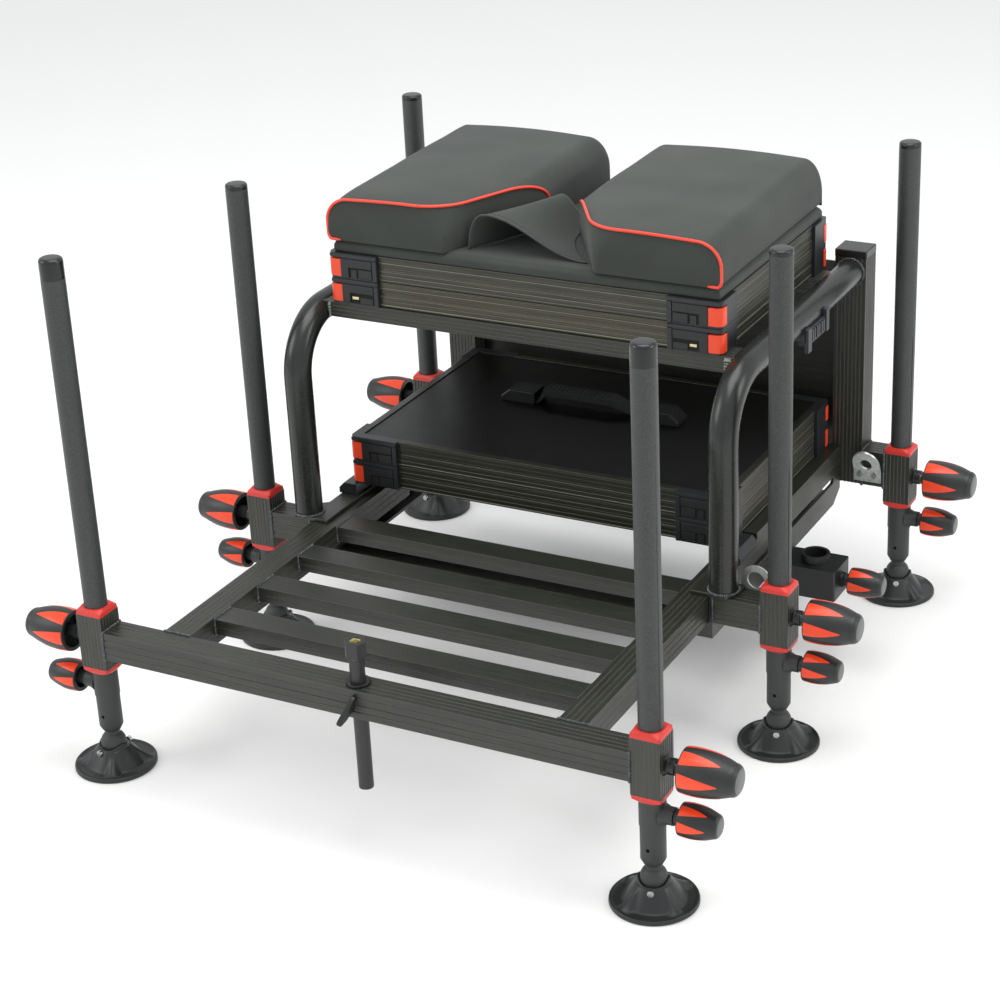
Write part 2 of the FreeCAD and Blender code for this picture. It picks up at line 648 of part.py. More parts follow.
def arch_solid(radius):
    """Bar of a given radius along the arch: up, a bend, and back to the post."""
    k = ARCH_BEND_R * (1 - math.sqrt(0.5))
    foot_at = (ARCH_X, Y_ARCH, PLATE_TOP)
    bend_from = (ARCH_X, Y_ARCH, ARCH_RUN_Z - ARCH_BEND_R)
    bend_mid = (ARCH_X, Y_ARCH + k, ARCH_RUN_Z - k)
    bend_to = (ARCH_X, Y_ARCH + ARCH_BEND_R, ARCH_RUN_Z)
    path = Part.Wire([line(foot_at, bend_from), arc(bend_from, bend_mid, bend_to),
                      line(bend_to, (ARCH_X, Y_POST, ARCH_RUN_Z))])
    ring = Part.Wire(Part.makeCircle(radius, Vector(*foot_at), Vector(0, 0, 1)))
    return path.makePipeShell([ring], True, False)


def arch_tube():
    return arch_solid(ARCH_D / 2).cut(arch_solid(ARCH_D / 2 - ARCH_WALL))


def arch_plate():
    """Flat foot plate under an arch, across the outrigger and over the footplate rail."""
    x0 = TRAY_RAIL_X
    x1 = ARCH_X + ARCH_D / 2 + 1.5
    y0 = Y_BASE - 2.0
    y1 = Y_BASE + BAR
    return extrude([(x0, y0, PLATE_Z), (x1 - 10.0, y0, PLATE_Z), (x1, y0 + 12.0, PLATE_Z), (x1, y1, PLATE_Z),
                    (x1 - 8.0, y1, PLATE_Z), (WEB_OUT_X, y1 + 12.0, PLATE_Z),
                    (WEB_OUT_X, y1 + PLATE_TAIL, PLATE_Z), (x0, y1 + PLATE_TAIL, PLATE_Z)], (0, 0, PLATE_T))


def upper_crossbars():
    """Two flat ribbed bars welded between the arches; the upper stack stands on them."""
    arch = arch_solid(ARCH_D / 2)
    out = []
    for yc in (Y_UPPER + BAR / 2, Y_UPPER + TRAY_DEPTH - BAR):
        bar = bar_x(-ARCH_X, ARCH_X, yc, UPPER_STACK_Z - SLAT_H / 2, BAR, SLAT_H, 3, 3, CROSSBAR_WALL)
        bar = bar.cut(arch).cut(mirror_x(arch))
        out.append(max(bar.Solids, key=lambda s: s.Volume))
    return out


def rear_post():
    post = bar_z(POST_Z0, POST_TOP - POST_CAP_T, ARCH_X, Y_POST + POST_DEPTH / 2, POST_W, POST_DEPTH, 7, 5)
    cap = box(ARCH_X - POST_W / 2, ARCH_X + POST_W / 2, Y_POST, Y_POST + POST_DEPTH,
              POST_TOP - POST_CAP_T, POST_TOP)
    return join([post, cap])


def back_panel():
    half = ARCH_X - POST_W / 2
    y0 = Y_POST + POST_DEPTH - 8.0
    return box(-half, half, y0, y0 + BACK_PANEL_T, POST_Z0 + 30.0, ARCH_RUN_Z + 2.0)


# Small fittings of the base

def tie_lug(xc, z0, z_bend, length, y, hole_r, lean):
    """Strap of sheet metal, bent at z_bend, with a rounded end and an eye."""
    half = LUG_W / 2
    z_eye = z_bend + length - half
    base = box(xc - half, xc + half, y - LUG_T, y, z0, z_bend)
    tongue = box(xc - half, xc + half, y - LUG_T, y, z_bend, z_eye)
    end = rod(half, (xc, y, z_eye), (0, -1, 0), LUG_T)
    eye = rod(hole_r, (xc, y + 1, z_eye), (0, -1, 0), LUG_T + 2)
    tongue = join([tongue, end]).cut(eye)
    tongue = tongue.common(box(xc - half, xc + half, y - LUG_T, y, z_bend, z_bend + length))
    tongue.rotate(Vector(xc, y, z_bend), Vector(1, 0, 0), lean)
    return join([base, tongue])


def tie_lugs():
    """Ring lug behind the middle outrigger and leaning lug before the rear one, with their screws."""
    ring_y = Y_MID + BAR / 2 + LUG_T
    rear_z = POST_Z0 + 5.5
    ring_z = DECK_Z - 22.0
    rear = tie_lug(REAR_LUG_X, rear_z, rear_z + 10.5, 28.0, Y_POST, 7.0, LUG_LEAN)
    ring = tie_lug(RING_LUG_X, ring_z, ring_z + 18.0, 33.0, ring_y, 9.5, 0.0)
    screws = []
    for dx in (-LUG_SCREW_HALF_GAP, LUG_SCREW_HALF_GAP):
        screws.append(rod(LUG_SCREW_R, (REAR_LUG_X + dx, Y_POST - LUG_T, rear_z + 5.0), (0, -1, 0), LUG_SCREW_H))
        screws.append(rod(LUG_SCREW_R, (RING_LUG_X + dx, ring_y, ring_z + 7.0), (0, 1, 0), LUG_SCREW_H))
    return [rear, ring] + screws


def tray_bracket():
    """Moulded block on the channel that carries a front corner of the lower stack."""
    y0, y1 = Y_LOWER - 6.0, Y_LOWER + 46.0
    x0 = TRAY_RAIL_X + 4.0
    return extrude([(x0, y0, PLATE_TOP), (WEB_OUT_X + 3.0, y0, PLATE_TOP), (WEB_OUT_X + 3.0, y0, PLATE_TOP + 7.0),
                    (WEB_OUT_X - 4.0, y0, LOWER_STACK_Z), (x0, y0, LOWER_STACK_Z)], (0, y1 - y0, 0))


def strap_buckle():
    """Ladder buckle that hangs beside the right arch on a short loop."""
    y0 = Y_MID + BUCKLE_FROM_MID_ROW
    x0 = ARCH_X + ARCH_D / 2 - 6.0
    loop_y = y0 + 58.0
    loop_l = 12.0
    clip = box(x0, x0 + BUCKLE_T, y0, y0 + BUCKLE_L, ARCH_RUN_Z - 44.0, ARCH_RUN_Z - 18.0)
    clip = clip.cut(box(x0 - 1, x0 + BUCKLE_T + 1, y0 + 10.0, y0 + BUCKLE_L - 10.0,
                        ARCH_RUN_Z - 34.0, ARCH_RUN_Z - 27.0))
    band = rod(ARCH_D / 2 + 2.5, (ARCH_X, loop_y, ARCH_RUN_Z), (0, 1, 0), loop_l)
    tail = box(x0 + 2.0, x0 + 6.0, loop_y, loop_y + loop_l, ARCH_RUN_Z - 20.0, ARCH_RUN_Z - 8.0)
    return join([clip, band, tail]).cut(rod(ARCH_D / 2, (ARCH_X, loop_y - 1, ARCH_RUN_Z), (0, 1, 0), loop_l + 2))


def accessory_clamp():
    """Moulded block with an upright socket, under the right side channel."""
    yc = (CLAMP_Y0 + CLAMP_Y1) / 2
    zc = (CLAMP_Z0 + WEB_Z0) / 2
    block = box(CLAMP_X0, CLAMP_X1, CLAMP_Y0, CLAMP_Y1, CLAMP_Z0, WEB_Z0)
    upright = [e for e in block.Edges if abs(e.Vertexes[0].Z - e.Vertexes[1].Z) > 1.0]
    block = block.makeFillet(3.0, upright)
    collar = rod(CLAMP_BORE_D / 2 + 3.5, (CLAMP_BORE_X, yc, WEB_Z0 - 1.0), (0, 0, 1), CLAMP_COLLAR_H + 1.0)
    boss = rod(CLAMP_BOSS_D / 2, (CLAMP_X1 - 1.0, yc, zc), (1, 0, 0), CLAMP_BOSS_L + 1.0)
    bore = rod(CLAMP_BORE_D / 2, (CLAMP_BORE_X, yc, CLAMP_Z0 - 1), (0, 0, 1), CLAMP_H + CLAMP_COLLAR_H + 2)
    thread = rod(SMALL_SHANK_D / 2 + FIT_GAP, (CLAMP_BORE_X, yc, zc), (1, 0, 0), CLAMP_X1 - CLAMP_X0)
    return join([block, collar, boss]).cut(bore).cut(thread)


# Trays, drawn from their front edge at y = 0

def profile_outline(width, height):
    """Section of a tray profile as (u, v): u outwards from the inside face, v up.

    The outer face has a proud lip along its bottom and its top and one groove at mid height.
    """
    face = width - LIP_PROUD
    groove_v = height * GROOVE_PART
    return [
        (0.0, 0.0), (width - 0.8, 0.0), (width, 0.8), (width, LIP_H), (face, LIP_H + 0.5),
        (face, groove_v - GROOVE_W / 2), (face - GROOVE_D, groove_v - GROOVE_W / 2 + 0.4),
        (face - GROOVE_D, groove_v + GROOVE_W / 2 - 0.4), (face, groove_v + GROOVE_W / 2),
        (face, height - LIP_H - 0.5), (width, height - LIP_H), (width, height - 0.6),
        (width - 0.6, height), (0.0, height),
    ]


def tray_profiles(z0, floor):
    """Front, back and side profiles of one tray, corner to corner, with a floor if it has one."""
    face_x = TRAY_HALF_X - CORNER_PROUD
    inner_x = face_x - PROFILE_T
    inner_y = CORNER_T
    back_y = TRAY_DEPTH - inner_y
    x_end = TRAY_HALF_X - CORNER_FRONT_W
    section = profile_outline(PROFILE_T, TRAY_H)
    front = extrude([(-x_end, inner_y - u, z0 + v) for u, v in section], (2 * x_end, 0, 0))
    back = extrude([(-x_end, back_y + u, z0 + v) for u, v in section], (2 * x_end, 0, 0))
    side = extrude([(inner_x + u, CORNER_SIDE_W, z0 + v) for u, v in section],
                   (0, TRAY_DEPTH - 2 * CORNER_SIDE_W, 0))
    solids = [front, back] + both_sides(side)
    if floor:
        solids.append(box(-inner_x, inner_x, inner_y, back_y, z0 + 1.0, z0 + 1.0 + FLOOR_T))
    return solids


def catch(z0):
    """Right front catch: coloured end that wraps the corner and a flat bar in the front groove."""
    x1 = TRAY_HALF_X
    bar_x1 = x1 - CATCH_W
    zc = z0 + TRAY_H / 2
    end = box(bar_x1, x1 + CATCH_PROUD, -CATCH_PROUD, CATCH_WRAP, zc - CATCH_H / 2, zc + CATCH_H / 2)
    end = end.makeFillet(CORNER_R, upright_edge(end, x1 + CATCH_PROUD, -CATCH_PROUD))
    core = box(bar_x1 - 1.0, x1 - CATCH_T, CATCH_T, CATCH_WRAP + 1.0, zc - CATCH_H, zc + CATCH_H)
    bar = box(bar_x1 - CATCH_BAR_L, bar_x1, 0.6, CATCH_BAR_T, zc - CATCH_BAR_H / 2, zc + CATCH_BAR_H / 2)
    notch = box(bar_x1 - 18.0, bar_x1 - 11.0, 0, CATCH_BAR_T + 1.0, zc - 1.0, zc + CATCH_BAR_H)
    return [end.cut(core), bar.cut(notch)]


def corner(z0):
    """Right front corner of a tray: an L moulding with the recess and the groove of its catch."""
    x1 = TRAY_HALF_X
    x0 = x1 - CORNER_FRONT_W
    zc = z0 + TRAY_H / 2
    g = RUN_GAP
    bar_x1 = x1 - CATCH_W
    outer = box(x0, x1, 0, CORNER_SIDE_W, z0, z0 + TRAY_H)
    outer = outer.makeFillet(CORNER_R, upright_edge(outer, x1, 0))
    inner = box(x0 - 1, x1 - CORNER_T, CORNER_T, CORNER_SIDE_W + 1, z0 - 1, z0 + TRAY_H + 1)
    recess = box(bar_x1 - g, x1 + 2.0, -2.0, CATCH_WRAP + g, zc - CATCH_H / 2 - g, zc + CATCH_H / 2 + g)
    keep = box(x0, x1 - CATCH_T - g, CATCH_T + g, CORNER_SIDE_W, z0, z0 + TRAY_H)
    groove = box(bar_x1 - CATCH_BAR_L - g, bar_x1 + 1.0, -1.0, CATCH_BAR_T + g,
                 zc - CATCH_BAR_H / 2 - g, zc + CATCH_BAR_H / 2 + g)
    window = box(bar_x1 - 18.0, bar_x1 - 8.0, -1.0, 2.0, zc - CATCH_BAR_H / 2 - 3.0, zc)
    ledge = box(x0 - 1, x1 + 1, -1.0, 0.8, z0 + TRAY_H - 3.2, z0 + TRAY_H - 2.4)
    return outer.cut(inner).cut(recess.cut(keep)).cut(groove).cut(window).cut(ledge)


def at_back(shape):
    """Front piece turned into the same piece of the back edge."""
    return shape.mirror(Vector(0, TRAY_DEPTH / 2, 0), Vector(0, 1, 0))


def corners(z0):
    return both_sides(corner(z0)) + both_sides(at_back(corner(z0)))


def catches(z0, with_back):
    """Sliding catches of the right side of one tray."""
    front = catch(z0)
    if with_back:
        return front + [at_back(s) for s in front]
    return front


def hinge_half(xc, z, moving):
    """Leaf on the back edge with its knuckles; the fixed half also holds the pin."""
    step = HINGE_L / HINGE_KNUCKLES
    x0 = xc - HINGE_L / 2
    y_axis = TRAY_DEPTH + HINGE_R
    y_face = TRAY_DEPTH - CORNER_PROUD
    leaf_z = z + RUN_GAP if moving else z - RUN_GAP - HINGE_LEAF_H
    arm_z = z + RUN_GAP if moving else z - RUN_GAP - HINGE_R
    pieces = [box(x0, x0 + HINGE_L, y_face, y_face + HINGE_LEAF_T, leaf_z, leaf_z + HINGE_LEAF_H)]
    for i in range(HINGE_KNUCKLES):
        if (i % 2 == 1) == moving:
            a = x0 + i * step + RUN_GAP / 2
            b = x0 + (i + 1) * step - RUN_GAP / 2
            pieces.append(rod(HINGE_R, (a, y_axis, z), (1, 0, 0), b - a))
            pieces.append(box(a, b, y_face, y_axis, arm_z, arm_z + HINGE_R - RUN_GAP))
    if moving:
        return join(pieces).cut(rod(HINGE_PIN_R + FIT_GAP, (x0 - 1, y_axis, z), (1, 0, 0), HINGE_L + 2))
    return join(pieces + [rod(HINGE_PIN_R, (x0, y_axis, z), (1, 0, 0), HINGE_L)])


def hinges(z, moving):
    return [hinge_half(xc, z, moving) for xc in (-HINGE_X, HINGE_X)]


# Lid of the lower stack: glossy panel with a carrying handle in two end caps

def lid_panel(z0):
    inner_x = TRAY_HALF_X - CORNER_PROUD - PROFILE_T
    z1 = z0 + TRAY_H - PANEL_DROP
    return box(-inner_x, inner_x, CORNER_T, TRAY_DEPTH - CORNER_T, z1 - PANEL_T, z1)


def handle_caps(z):
    """Hollow end caps on the lid, open towards the grip."""
    w = HANDLE_CAP_W / 2
    y = HANDLE_FROM_FRONT
    h = HANDLE_CAP_H
    wall = HANDLE_CAP_WALL
    out = []
    for x_out, sign in ((HANDLE_X0, 1), (HANDLE_X1, -1)):
        x_in = x_out + sign * HANDLE_CAP_L
        x_slope = x_out + sign * HANDLE_CAP_SLOPE
        cap = extrude([(x_out, y - w, z), (x_in, y - w, z), (x_in, y - w, z + h), (x_slope, y - w, z + h),
                       (x_out, y - w, z + 6.0)], (0, 2 * w, 0))
        ends = sorted((x_in + sign, x_slope + sign * 2.0))
        out.append(cap.cut(box(ends[0], ends[1], y - w + wall, y + w - wall, z - 1.0, z + h - wall)))
    return out


def handle_grip(z):
    """Flat strap with a thick ribbed middle that rises between its ends."""
    y = HANDLE_FROM_FRONT
    w = STRAP_W / 2
    low = z + RUN_GAP
    high = z + GRIP_RISE
    x0 = HANDLE_X0 + HANDLE_CAP_SLOPE + 3.5
    x1 = HANDLE_X1 - HANDLE_CAP_SLOPE - 3.5
    a = HANDLE_X0 + HANDLE_CAP_L + 1.5
    b = HANDLE_X1 - HANDLE_CAP_L - 1.5
    under = [(x0, low), (a, low), (GRIP_X0, high), (GRIP_X1, high), (b, low), (x1, low)]
    over = [(x1, low + STRAP_T), (b, low + STRAP_T), (GRIP_X1 + 2.0, high + GRIP_T),
            (GRIP_X0 - 2.0, high + GRIP_T), (a, low + STRAP_T), (x0, low + STRAP_T)]
    body = extrude([(x, y - w, h) for x, h in under + over], (0, STRAP_W, 0))
    step = (GRIP_X1 - GRIP_X0) / GRIP_RIBS
    for i in range(GRIP_RIBS):
        xc = GRIP_X0 + step * (i + 0.5)
        body = body.cut(rod(GRIP_GROOVE_R, (xc, y - w - 1, high + GRIP_T + 0.3), (0, 1, 0), STRAP_W + 2))
    return body


# Seat: base board, two cushions and the band of cloth between them

def seat_board():
    """Board over the whole seat with its upper edge sloped all round."""
    half = TRAY_HALF_X - CORNER_PROUD - SEAT_BOARD_SET_IN
    y0 = CORNER_PROUD + SEAT_BOARD_SET_IN
    body = box(-half, half, y0, TRAY_DEPTH - y0, SEAT_Z, SEAT_Z + SEAT_BOARD_T)
    top = [e for e in body.Edges if all(abs(v.Z - SEAT_Z - SEAT_BOARD_T) < 1e-6 for v in e.Vertexes)]
    return body.makeChamfer(SEAT_BOARD_BEVEL, top)


def cushion_section(y, x_out, x_in, z0, height):
    """Closed outline of a cushion across X: rolled outer side, crowned top, drawn-in inner side."""
    k = 1 - math.sqrt(0.5)
    z1 = z0 + height
    low = CUSHION_FOOT_R
    roll = CUSHION_R
    turn = CUSHION_INNER_R
    a = (x_out + low, y, z0)
    b = (x_out, y, z0 + low)
    c = (x_out, y, z1 - roll)
    d = (x_out + roll, y, z1)
    e = (x_in - turn, y, z1)
    f = (x_in, y, z1 - turn)
    g = (x_in - 1.5, y, z0)
    return Part.Wire([
        arc(a, (x_out + low * k, y, z0 + low * k), b),
        line(b, c),
        arc(c, (x_out + roll * k, y, z1 - roll * k), d),
        arc(d, ((d[0] + e[0]) / 2, y, z1 + CUSHION_CROWN), e),
        arc(e, (x_in - turn * k, y, z1 - turn * k), f),
        line(f, g),
        line(g, a),
    ])


def cushion():
    """Left cushion: its inner side starts far out at the front and swings in towards the middle."""
    z0 = SEAT_Z + SEAT_BOARD_T
    stations = (
        (0.0, CUSHION_NOSE_X, 0.93, 0.0),
        (0.12, CUSHION_NOSE_X - 18.0, 0.97, 0.5),
        (0.37, CUSHION_HALF_GAP + 1.0, 1.0, 1.0),
        (0.7, CUSHION_HALF_GAP, 1.0, 1.0),
        (1.0, CUSHION_HALF_GAP, 0.93, 0.0),
    )
    sections = []
    for part, gap, rise, draw in stations:
        y = CUSHION_SET_IN + part * CUSHION_DEPTH
        x_out = -TRAY_HALF_X + draw * CUSHION_DRAW_IN
        sections.append(cushion_section(y, x_out, -gap, z0, CUSHION_H * rise))
    return Part.makeLoft(sections, True, False)


def flap_curve(y, x_left, x_right, x_peak, z0, rise, inset):
    """Points of the hump at one depth: foot, steep side, peak, long side, foot."""
    k = math.sqrt(0.5)
    left, right = x_left + inset, x_right - 1.6 * inset
    height = rise - inset
    return [(left, y, z0), (left + (x_peak - left) * (1 - k), y, z0 + height * k), (x_peak, y, z0 + height),
            ((x_peak + right) / 2, y, z0 + height * 0.58), (right, y, z0)]


def flap_section(y, x_left, x_right, x_peak, z0, rise):
    o = flap_curve(y, x_left, x_right, x_peak, z0, rise, 0.0)
    i = flap_curve(y, x_left, x_right, x_peak, z0, rise, FLAP_T)
    return Part.Wire([arc(o[0], o[1], o[2]), arc(o[2], o[3], o[4]), line(o[4], i[4]),
                      arc(i[4], i[3], i[2]), arc(i[2], i[1], i[0]), line(i[0], o[0])])


def seat_flap():
    """Band of cloth that bridges the gap between the cushions: steep on the left, long on the right."""
    z0 = SEAT_Z + SEAT_BOARD_T
    stations = ((26.0, 72.0, 72.0, -46.0, 34.0), (80.0, 44.0, 46.0, -24.0, 35.0), (150.0, 36.0, 36.0, -10.0, 31.0))
    return Part.makeLoft([flap_section(y, -left, right, peak, z0, rise)
                          for y, left, right, peak, rise in stations], True, False)


# Nodes: one named group of solids for each piece or set of like pieces

def stack_nodes():
    lower_z = LOWER_TRAY_Z + TRAY_H + RUN_GAP / 2
    upper_z = UPPER_TRAY_Z + TRAY_H + RUN_GAP / 2
    panel_top = LID_Z + TRAY_H - PANEL_DROP
    fixed_catches = [at_back(s) for c in catch(LID_Z) for s in both_sides(c)]
    lower = {
        "lower_tray": tray_profiles(LOWER_TRAY_Z, True) + corners(LOWER_TRAY_Z) + hinges(lower_z, False),
        "lid_tray": tray_profiles(LID_Z, False) + corners(LID_Z) + fixed_catches + [lid_panel(LID_Z)]
        + handle_caps(panel_top) + hinges(lower_z, True),
        "lid_handle": [handle_grip(panel_top)],
    }
    upper = {
        "upper_tray": tray_profiles(UPPER_TRAY_Z, True) + corners(UPPER_TRAY_Z) + hinges(upper_z, False),
        "seat_tray": tray_profiles(SEAT_TRAY_Z, False) + corners(SEAT_TRAY_Z) + hinges(upper_z, True),
        "seat_board": [seat_board()],
        "seat_cushions": both_sides(cushion()),
        "seat_flap": [seat_flap()],
    }
    nodes = {name: placed(solids, 0, Y_LOWER, 0) for name, solids in lower.items()}
    nodes.update({name: placed(solids, 0, Y_UPPER, 0) for name, solids in upper.items()})
    right = {
        "tray_catches": placed(catches(LOWER_TRAY_Z, True), 0, Y_LOWER, 0)
        + placed(catches(UPPER_TRAY_Z, True), 0, Y_UPPER, 0),
        "lid_catches": placed(catches(LID_Z, False), 0, Y_LOWER, 0),
        "seat_catches": placed(catches(SEAT_TRAY_Z, True), 0, Y_UPPER, 0),
    }
    for name, solids in right.items():
        nodes[name + "_right"] = solids
        nodes[name + "_left"] = [mirror_x(s) for s in solids]
    return nodes


def frame_nodes():
    clamp_shank = CLAMP_KNOB_X - CLAMP_BORE_X - CLAMP_BORE_D / 2 - 1.0
    clamp_knob = knob(CLAMP_KNOB, SMALL_SHANK_D, clamp_shank, SMALL_BOSS_D - 3.0)
    return {
        "footplate_frame": [front_beam(), rod_collar()] + both_sides(footplate_rail()) + slats(),
        "footplate_clamp_blocks": [s for piece in clamp_block(Y_FRONT) for s in both_sides(piece)],
        "footplate_bushes": both_sides(bush(Y_FRONT, True)) + both_sides(bush(Y_FRONT, False)),
        "accessory_rod": accessory_rod(),
        "wing_screw": [wing_screw()],
        "side_channels": both_sides(side_channel()) + both_sides(tray_rail()),
        "frame_crossbars": outriggers() + low_beams() + upper_crossbars(),
        "base_clamp_blocks": [s for y in (Y_MID, Y_REAR) for piece in clamp_block(y) for s in both_sides(piece)],
        "base_bushes": [s for y in (Y_MID, Y_REAR) for top in (True, False) for s in both_sides(bush(y, top))],
        "arch_frame": both_sides(arch_tube()) + both_sides(arch_plate()),
        "rear_frame": both_sides(rear_post()) + [back_panel()],
        "tie_lugs": tie_lugs(),
        "tray_brackets": both_sides(tray_bracket()),
        "strap_buckle": [strap_buckle()],
        "accessory_clamp": [accessory_clamp()],
        "accessory_clamp_knob": placed(clamp_knob, CLAMP_KNOB_X, (CLAMP_Y0 + CLAMP_Y1) / 2,
                                       (CLAMP_Z0 + WEB_Z0) / 2),
    }


def leg_nodes():
    rows = {"front": (Y_FRONT, LEG_TOP_FRONT, True), "middle": (Y_MID, LEG_TOP_MID, False),
            "rear": (Y_REAR, LEG_TOP_REAR, False)}
    big = knob(BIG_KNOB, BIG_SHANK_D, BIG_KNOB_X - LEG_HALF_X - LEG_D / 2 - RUN_GAP, BOSS_D - 2.0)
    small = knob(SMALL_KNOB, SMALL_SHANK_D, SMALL_KNOB_X - LEG_HALF_X - STEM_D / 2 - RUN_GAP, SMALL_BOSS_D - 3.0)
    nodes = {}
    for row, (y, top, tall) in rows.items():
        right = {
            "leg_": leg(y, top, tall),
            "stem_": stem(y),
            "foot_": foot(y),
            "leg_knob_": placed(big, BIG_KNOB_X, y, BIG_KNOB_Z),
            "stem_knob_": placed(small, SMALL_KNOB_X, y, SMALL_KNOB_Z),
        }
        for name, solids in right.items():
            nodes[name + row + "_right"] = solids
            nodes[name + row + "_left"] = [mirror_x(s) for s in solids]
    return nodes


def save(name, solids):
    shape = solids[0] if len(solids) == 1 else Part.makeCompound(solids)
    shape.exportStep("parts/%s.step" % name)
    print(name, len(solids), "solids", "" if all(s.isValid() for s in solids) else "INVALID")


os.makedirs("parts", exist_ok=True)
for make in (frame_nodes, leg_nodes, stack_nodes):
    for node_name, node_solids in make().items():
        save(node_name, node_solids)
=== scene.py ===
import math

import bmesh
import bpy
from mathutils import Matrix, Vector, noise
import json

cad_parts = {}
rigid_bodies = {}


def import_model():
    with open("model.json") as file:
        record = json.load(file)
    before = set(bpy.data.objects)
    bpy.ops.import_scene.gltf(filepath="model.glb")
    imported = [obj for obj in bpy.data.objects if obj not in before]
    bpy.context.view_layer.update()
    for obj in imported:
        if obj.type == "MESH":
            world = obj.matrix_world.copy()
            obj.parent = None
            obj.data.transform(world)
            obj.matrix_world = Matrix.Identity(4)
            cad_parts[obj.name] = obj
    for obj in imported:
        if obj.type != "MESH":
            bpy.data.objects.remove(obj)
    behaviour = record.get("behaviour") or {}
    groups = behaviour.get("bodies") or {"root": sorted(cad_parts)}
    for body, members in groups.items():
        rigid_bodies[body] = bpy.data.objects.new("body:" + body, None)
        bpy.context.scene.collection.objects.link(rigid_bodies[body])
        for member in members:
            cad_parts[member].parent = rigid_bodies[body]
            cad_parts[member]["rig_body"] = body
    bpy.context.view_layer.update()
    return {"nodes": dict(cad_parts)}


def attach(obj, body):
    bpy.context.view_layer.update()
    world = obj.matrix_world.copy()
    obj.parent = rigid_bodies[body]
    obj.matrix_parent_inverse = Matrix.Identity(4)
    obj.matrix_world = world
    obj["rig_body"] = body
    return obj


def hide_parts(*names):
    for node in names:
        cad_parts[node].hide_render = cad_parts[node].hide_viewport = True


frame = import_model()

nodes = frame["nodes"]

# View: the camera stands to the right of the box and looks down on it, as in the photograph.
# Its place, angles and 83 mm lens come from the spacing of the six legs.
CAMERA_PLACE = Vector((1.1235, -2.0773, 1.3018))
CAMERA_YAW = 0.496
CAMERA_PITCH = -0.430
CAMERA_ROLL = -0.045
LENS_MM = 83.0
SENSOR_MM = 36.0
SHIFT_RIGHT = -0.0203
SHIFT_UP = 0.0019

ahead = Vector((-math.sin(CAMERA_YAW) * math.cos(CAMERA_PITCH),
                math.cos(CAMERA_YAW) * math.cos(CAMERA_PITCH),
                math.sin(CAMERA_PITCH)))
level = Vector((math.cos(CAMERA_YAW), math.sin(CAMERA_YAW), 0.0))
upright = level.cross(ahead)
right = level * math.cos(CAMERA_ROLL) + upright * math.sin(CAMERA_ROLL)
over = upright * math.cos(CAMERA_ROLL) - level * math.sin(CAMERA_ROLL)
lens = bpy.data.cameras.new("view_camera")
lens.sensor_width = SENSOR_MM
lens.lens = LENS_MM
lens.shift_x = SHIFT_RIGHT
lens.shift_y = SHIFT_UP
lens.clip_start = 0.05
camera = bpy.data.objects.new("view_camera", lens)
bpy.context.collection.objects.link(camera)
camera.matrix_world = Matrix((
    (right.x, over.x, -ahead.x, CAMERA_PLACE.x),
    (right.y, over.y, -ahead.y, CAMERA_PLACE.y),
    (right.z, over.z, -ahead.z, CAMERA_PLACE.z),
    (0, 0, 0, 1),
))
bpy.context.scene.camera = camera
bpy.context.scene.view_settings.view_transform = "Standard"


# Floor and light: a pale studio sweep and three soft lamps, the widest one overhead.

def linear(code):
    """sRGB hex colour as linear RGBA."""
    out = []
    for i in (0, 2, 4):
        v = int(code[i:i + 2], 16) / 255
        out.append(v / 12.92 if v <= 0.04045 else ((v + 0.055) / 1.055) ** 2.4)
    return (*out, 1.0)


def feed(tree, node, inputs):
    """Sets a node's inputs, each to a value or a (node, output) link; i6 is the input numbered 6."""
    for key, value in inputs.items():
        at = int(key[1:]) if key[0] == "i" and key[1:].isdigit() else key.replace("_", " ")
        if isinstance(value, tuple) and isinstance(value[0], bpy.types.Node):
            tree.links.new(value[0].outputs[value[1]], node.inputs[at])
        else:
            node.inputs[at].default_value = value


def add(tree, kind, settings=None, **inputs):
    """A node with its settings and its inputs."""
    made = tree.nodes.new(kind)
    for key, value in (settings or {}).items():
        setattr(made, key, value)
    feed(tree, made, inputs)
    return made


def maths(tree, operation, *terms):
    """A node that calculates with one or two terms, each a value or a (node, output) link."""
    return add(tree, "ShaderNodeMath", {"operation": operation},
               **{"i" + str(i): term for i, term in enumerate(terms)})


def mixed(tree, share, first, second):
    """A node that mixes two colours; its colour is output 2."""
    return add(tree, "ShaderNodeMix", {"data_type": "RGBA"}, i0=share, i6=first, i7=second)


def bare_material(name, **values):
    """A material of one surface shader with these values; returns the material, its tree and the shader."""
    made = bpy.data.materials.new(name)
    made.use_nodes = True
    shader = made.node_tree.nodes["Principled BSDF"]
    feed(made.node_tree, shader, values)
    return made, made.node_tree, shader


def object_of(bm, name):
    """A bmesh as a smooth mesh object in the scene."""
    for face in bm.faces:
        face.smooth = True
    mesh = bpy.data.meshes.new(name)
    bm.to_mesh(mesh)
    bm.free()
    made = bpy.data.objects.new(name, mesh)
    bpy.context.collection.objects.link(made)
    return made


def grid_object(name, points, faces):
    """A mesh object from points and faces, doubles merged and faces turned outwards."""
    bm = bmesh.new()
    corners = [bm.verts.new(p) for p in points]
    for face in faces:
        bm.faces.new([corners[i] for i in face])
    bmesh.ops.remove_doubles(bm, verts=bm.verts, dist=1e-6)
    bmesh.ops.recalc_face_normals(bm, faces=bm.faces)
    return object_of(bm, name)


SWEEP = 9.0
sweep_corners = [(-SWEEP, -SWEEP, 0), (SWEEP, -SWEEP, 0), (SWEEP, SWEEP, 0), (-SWEEP, SWEEP, 0)]
studio_floor = grid_object("studio_floor", sweep_corners, [(0, 1, 2, 3)])
studio_floor.data.materials.append(bare_material("pale_studio_paper", Base_Color=linear("f4f4f2"),
                                                 Roughness=0.9)[0])

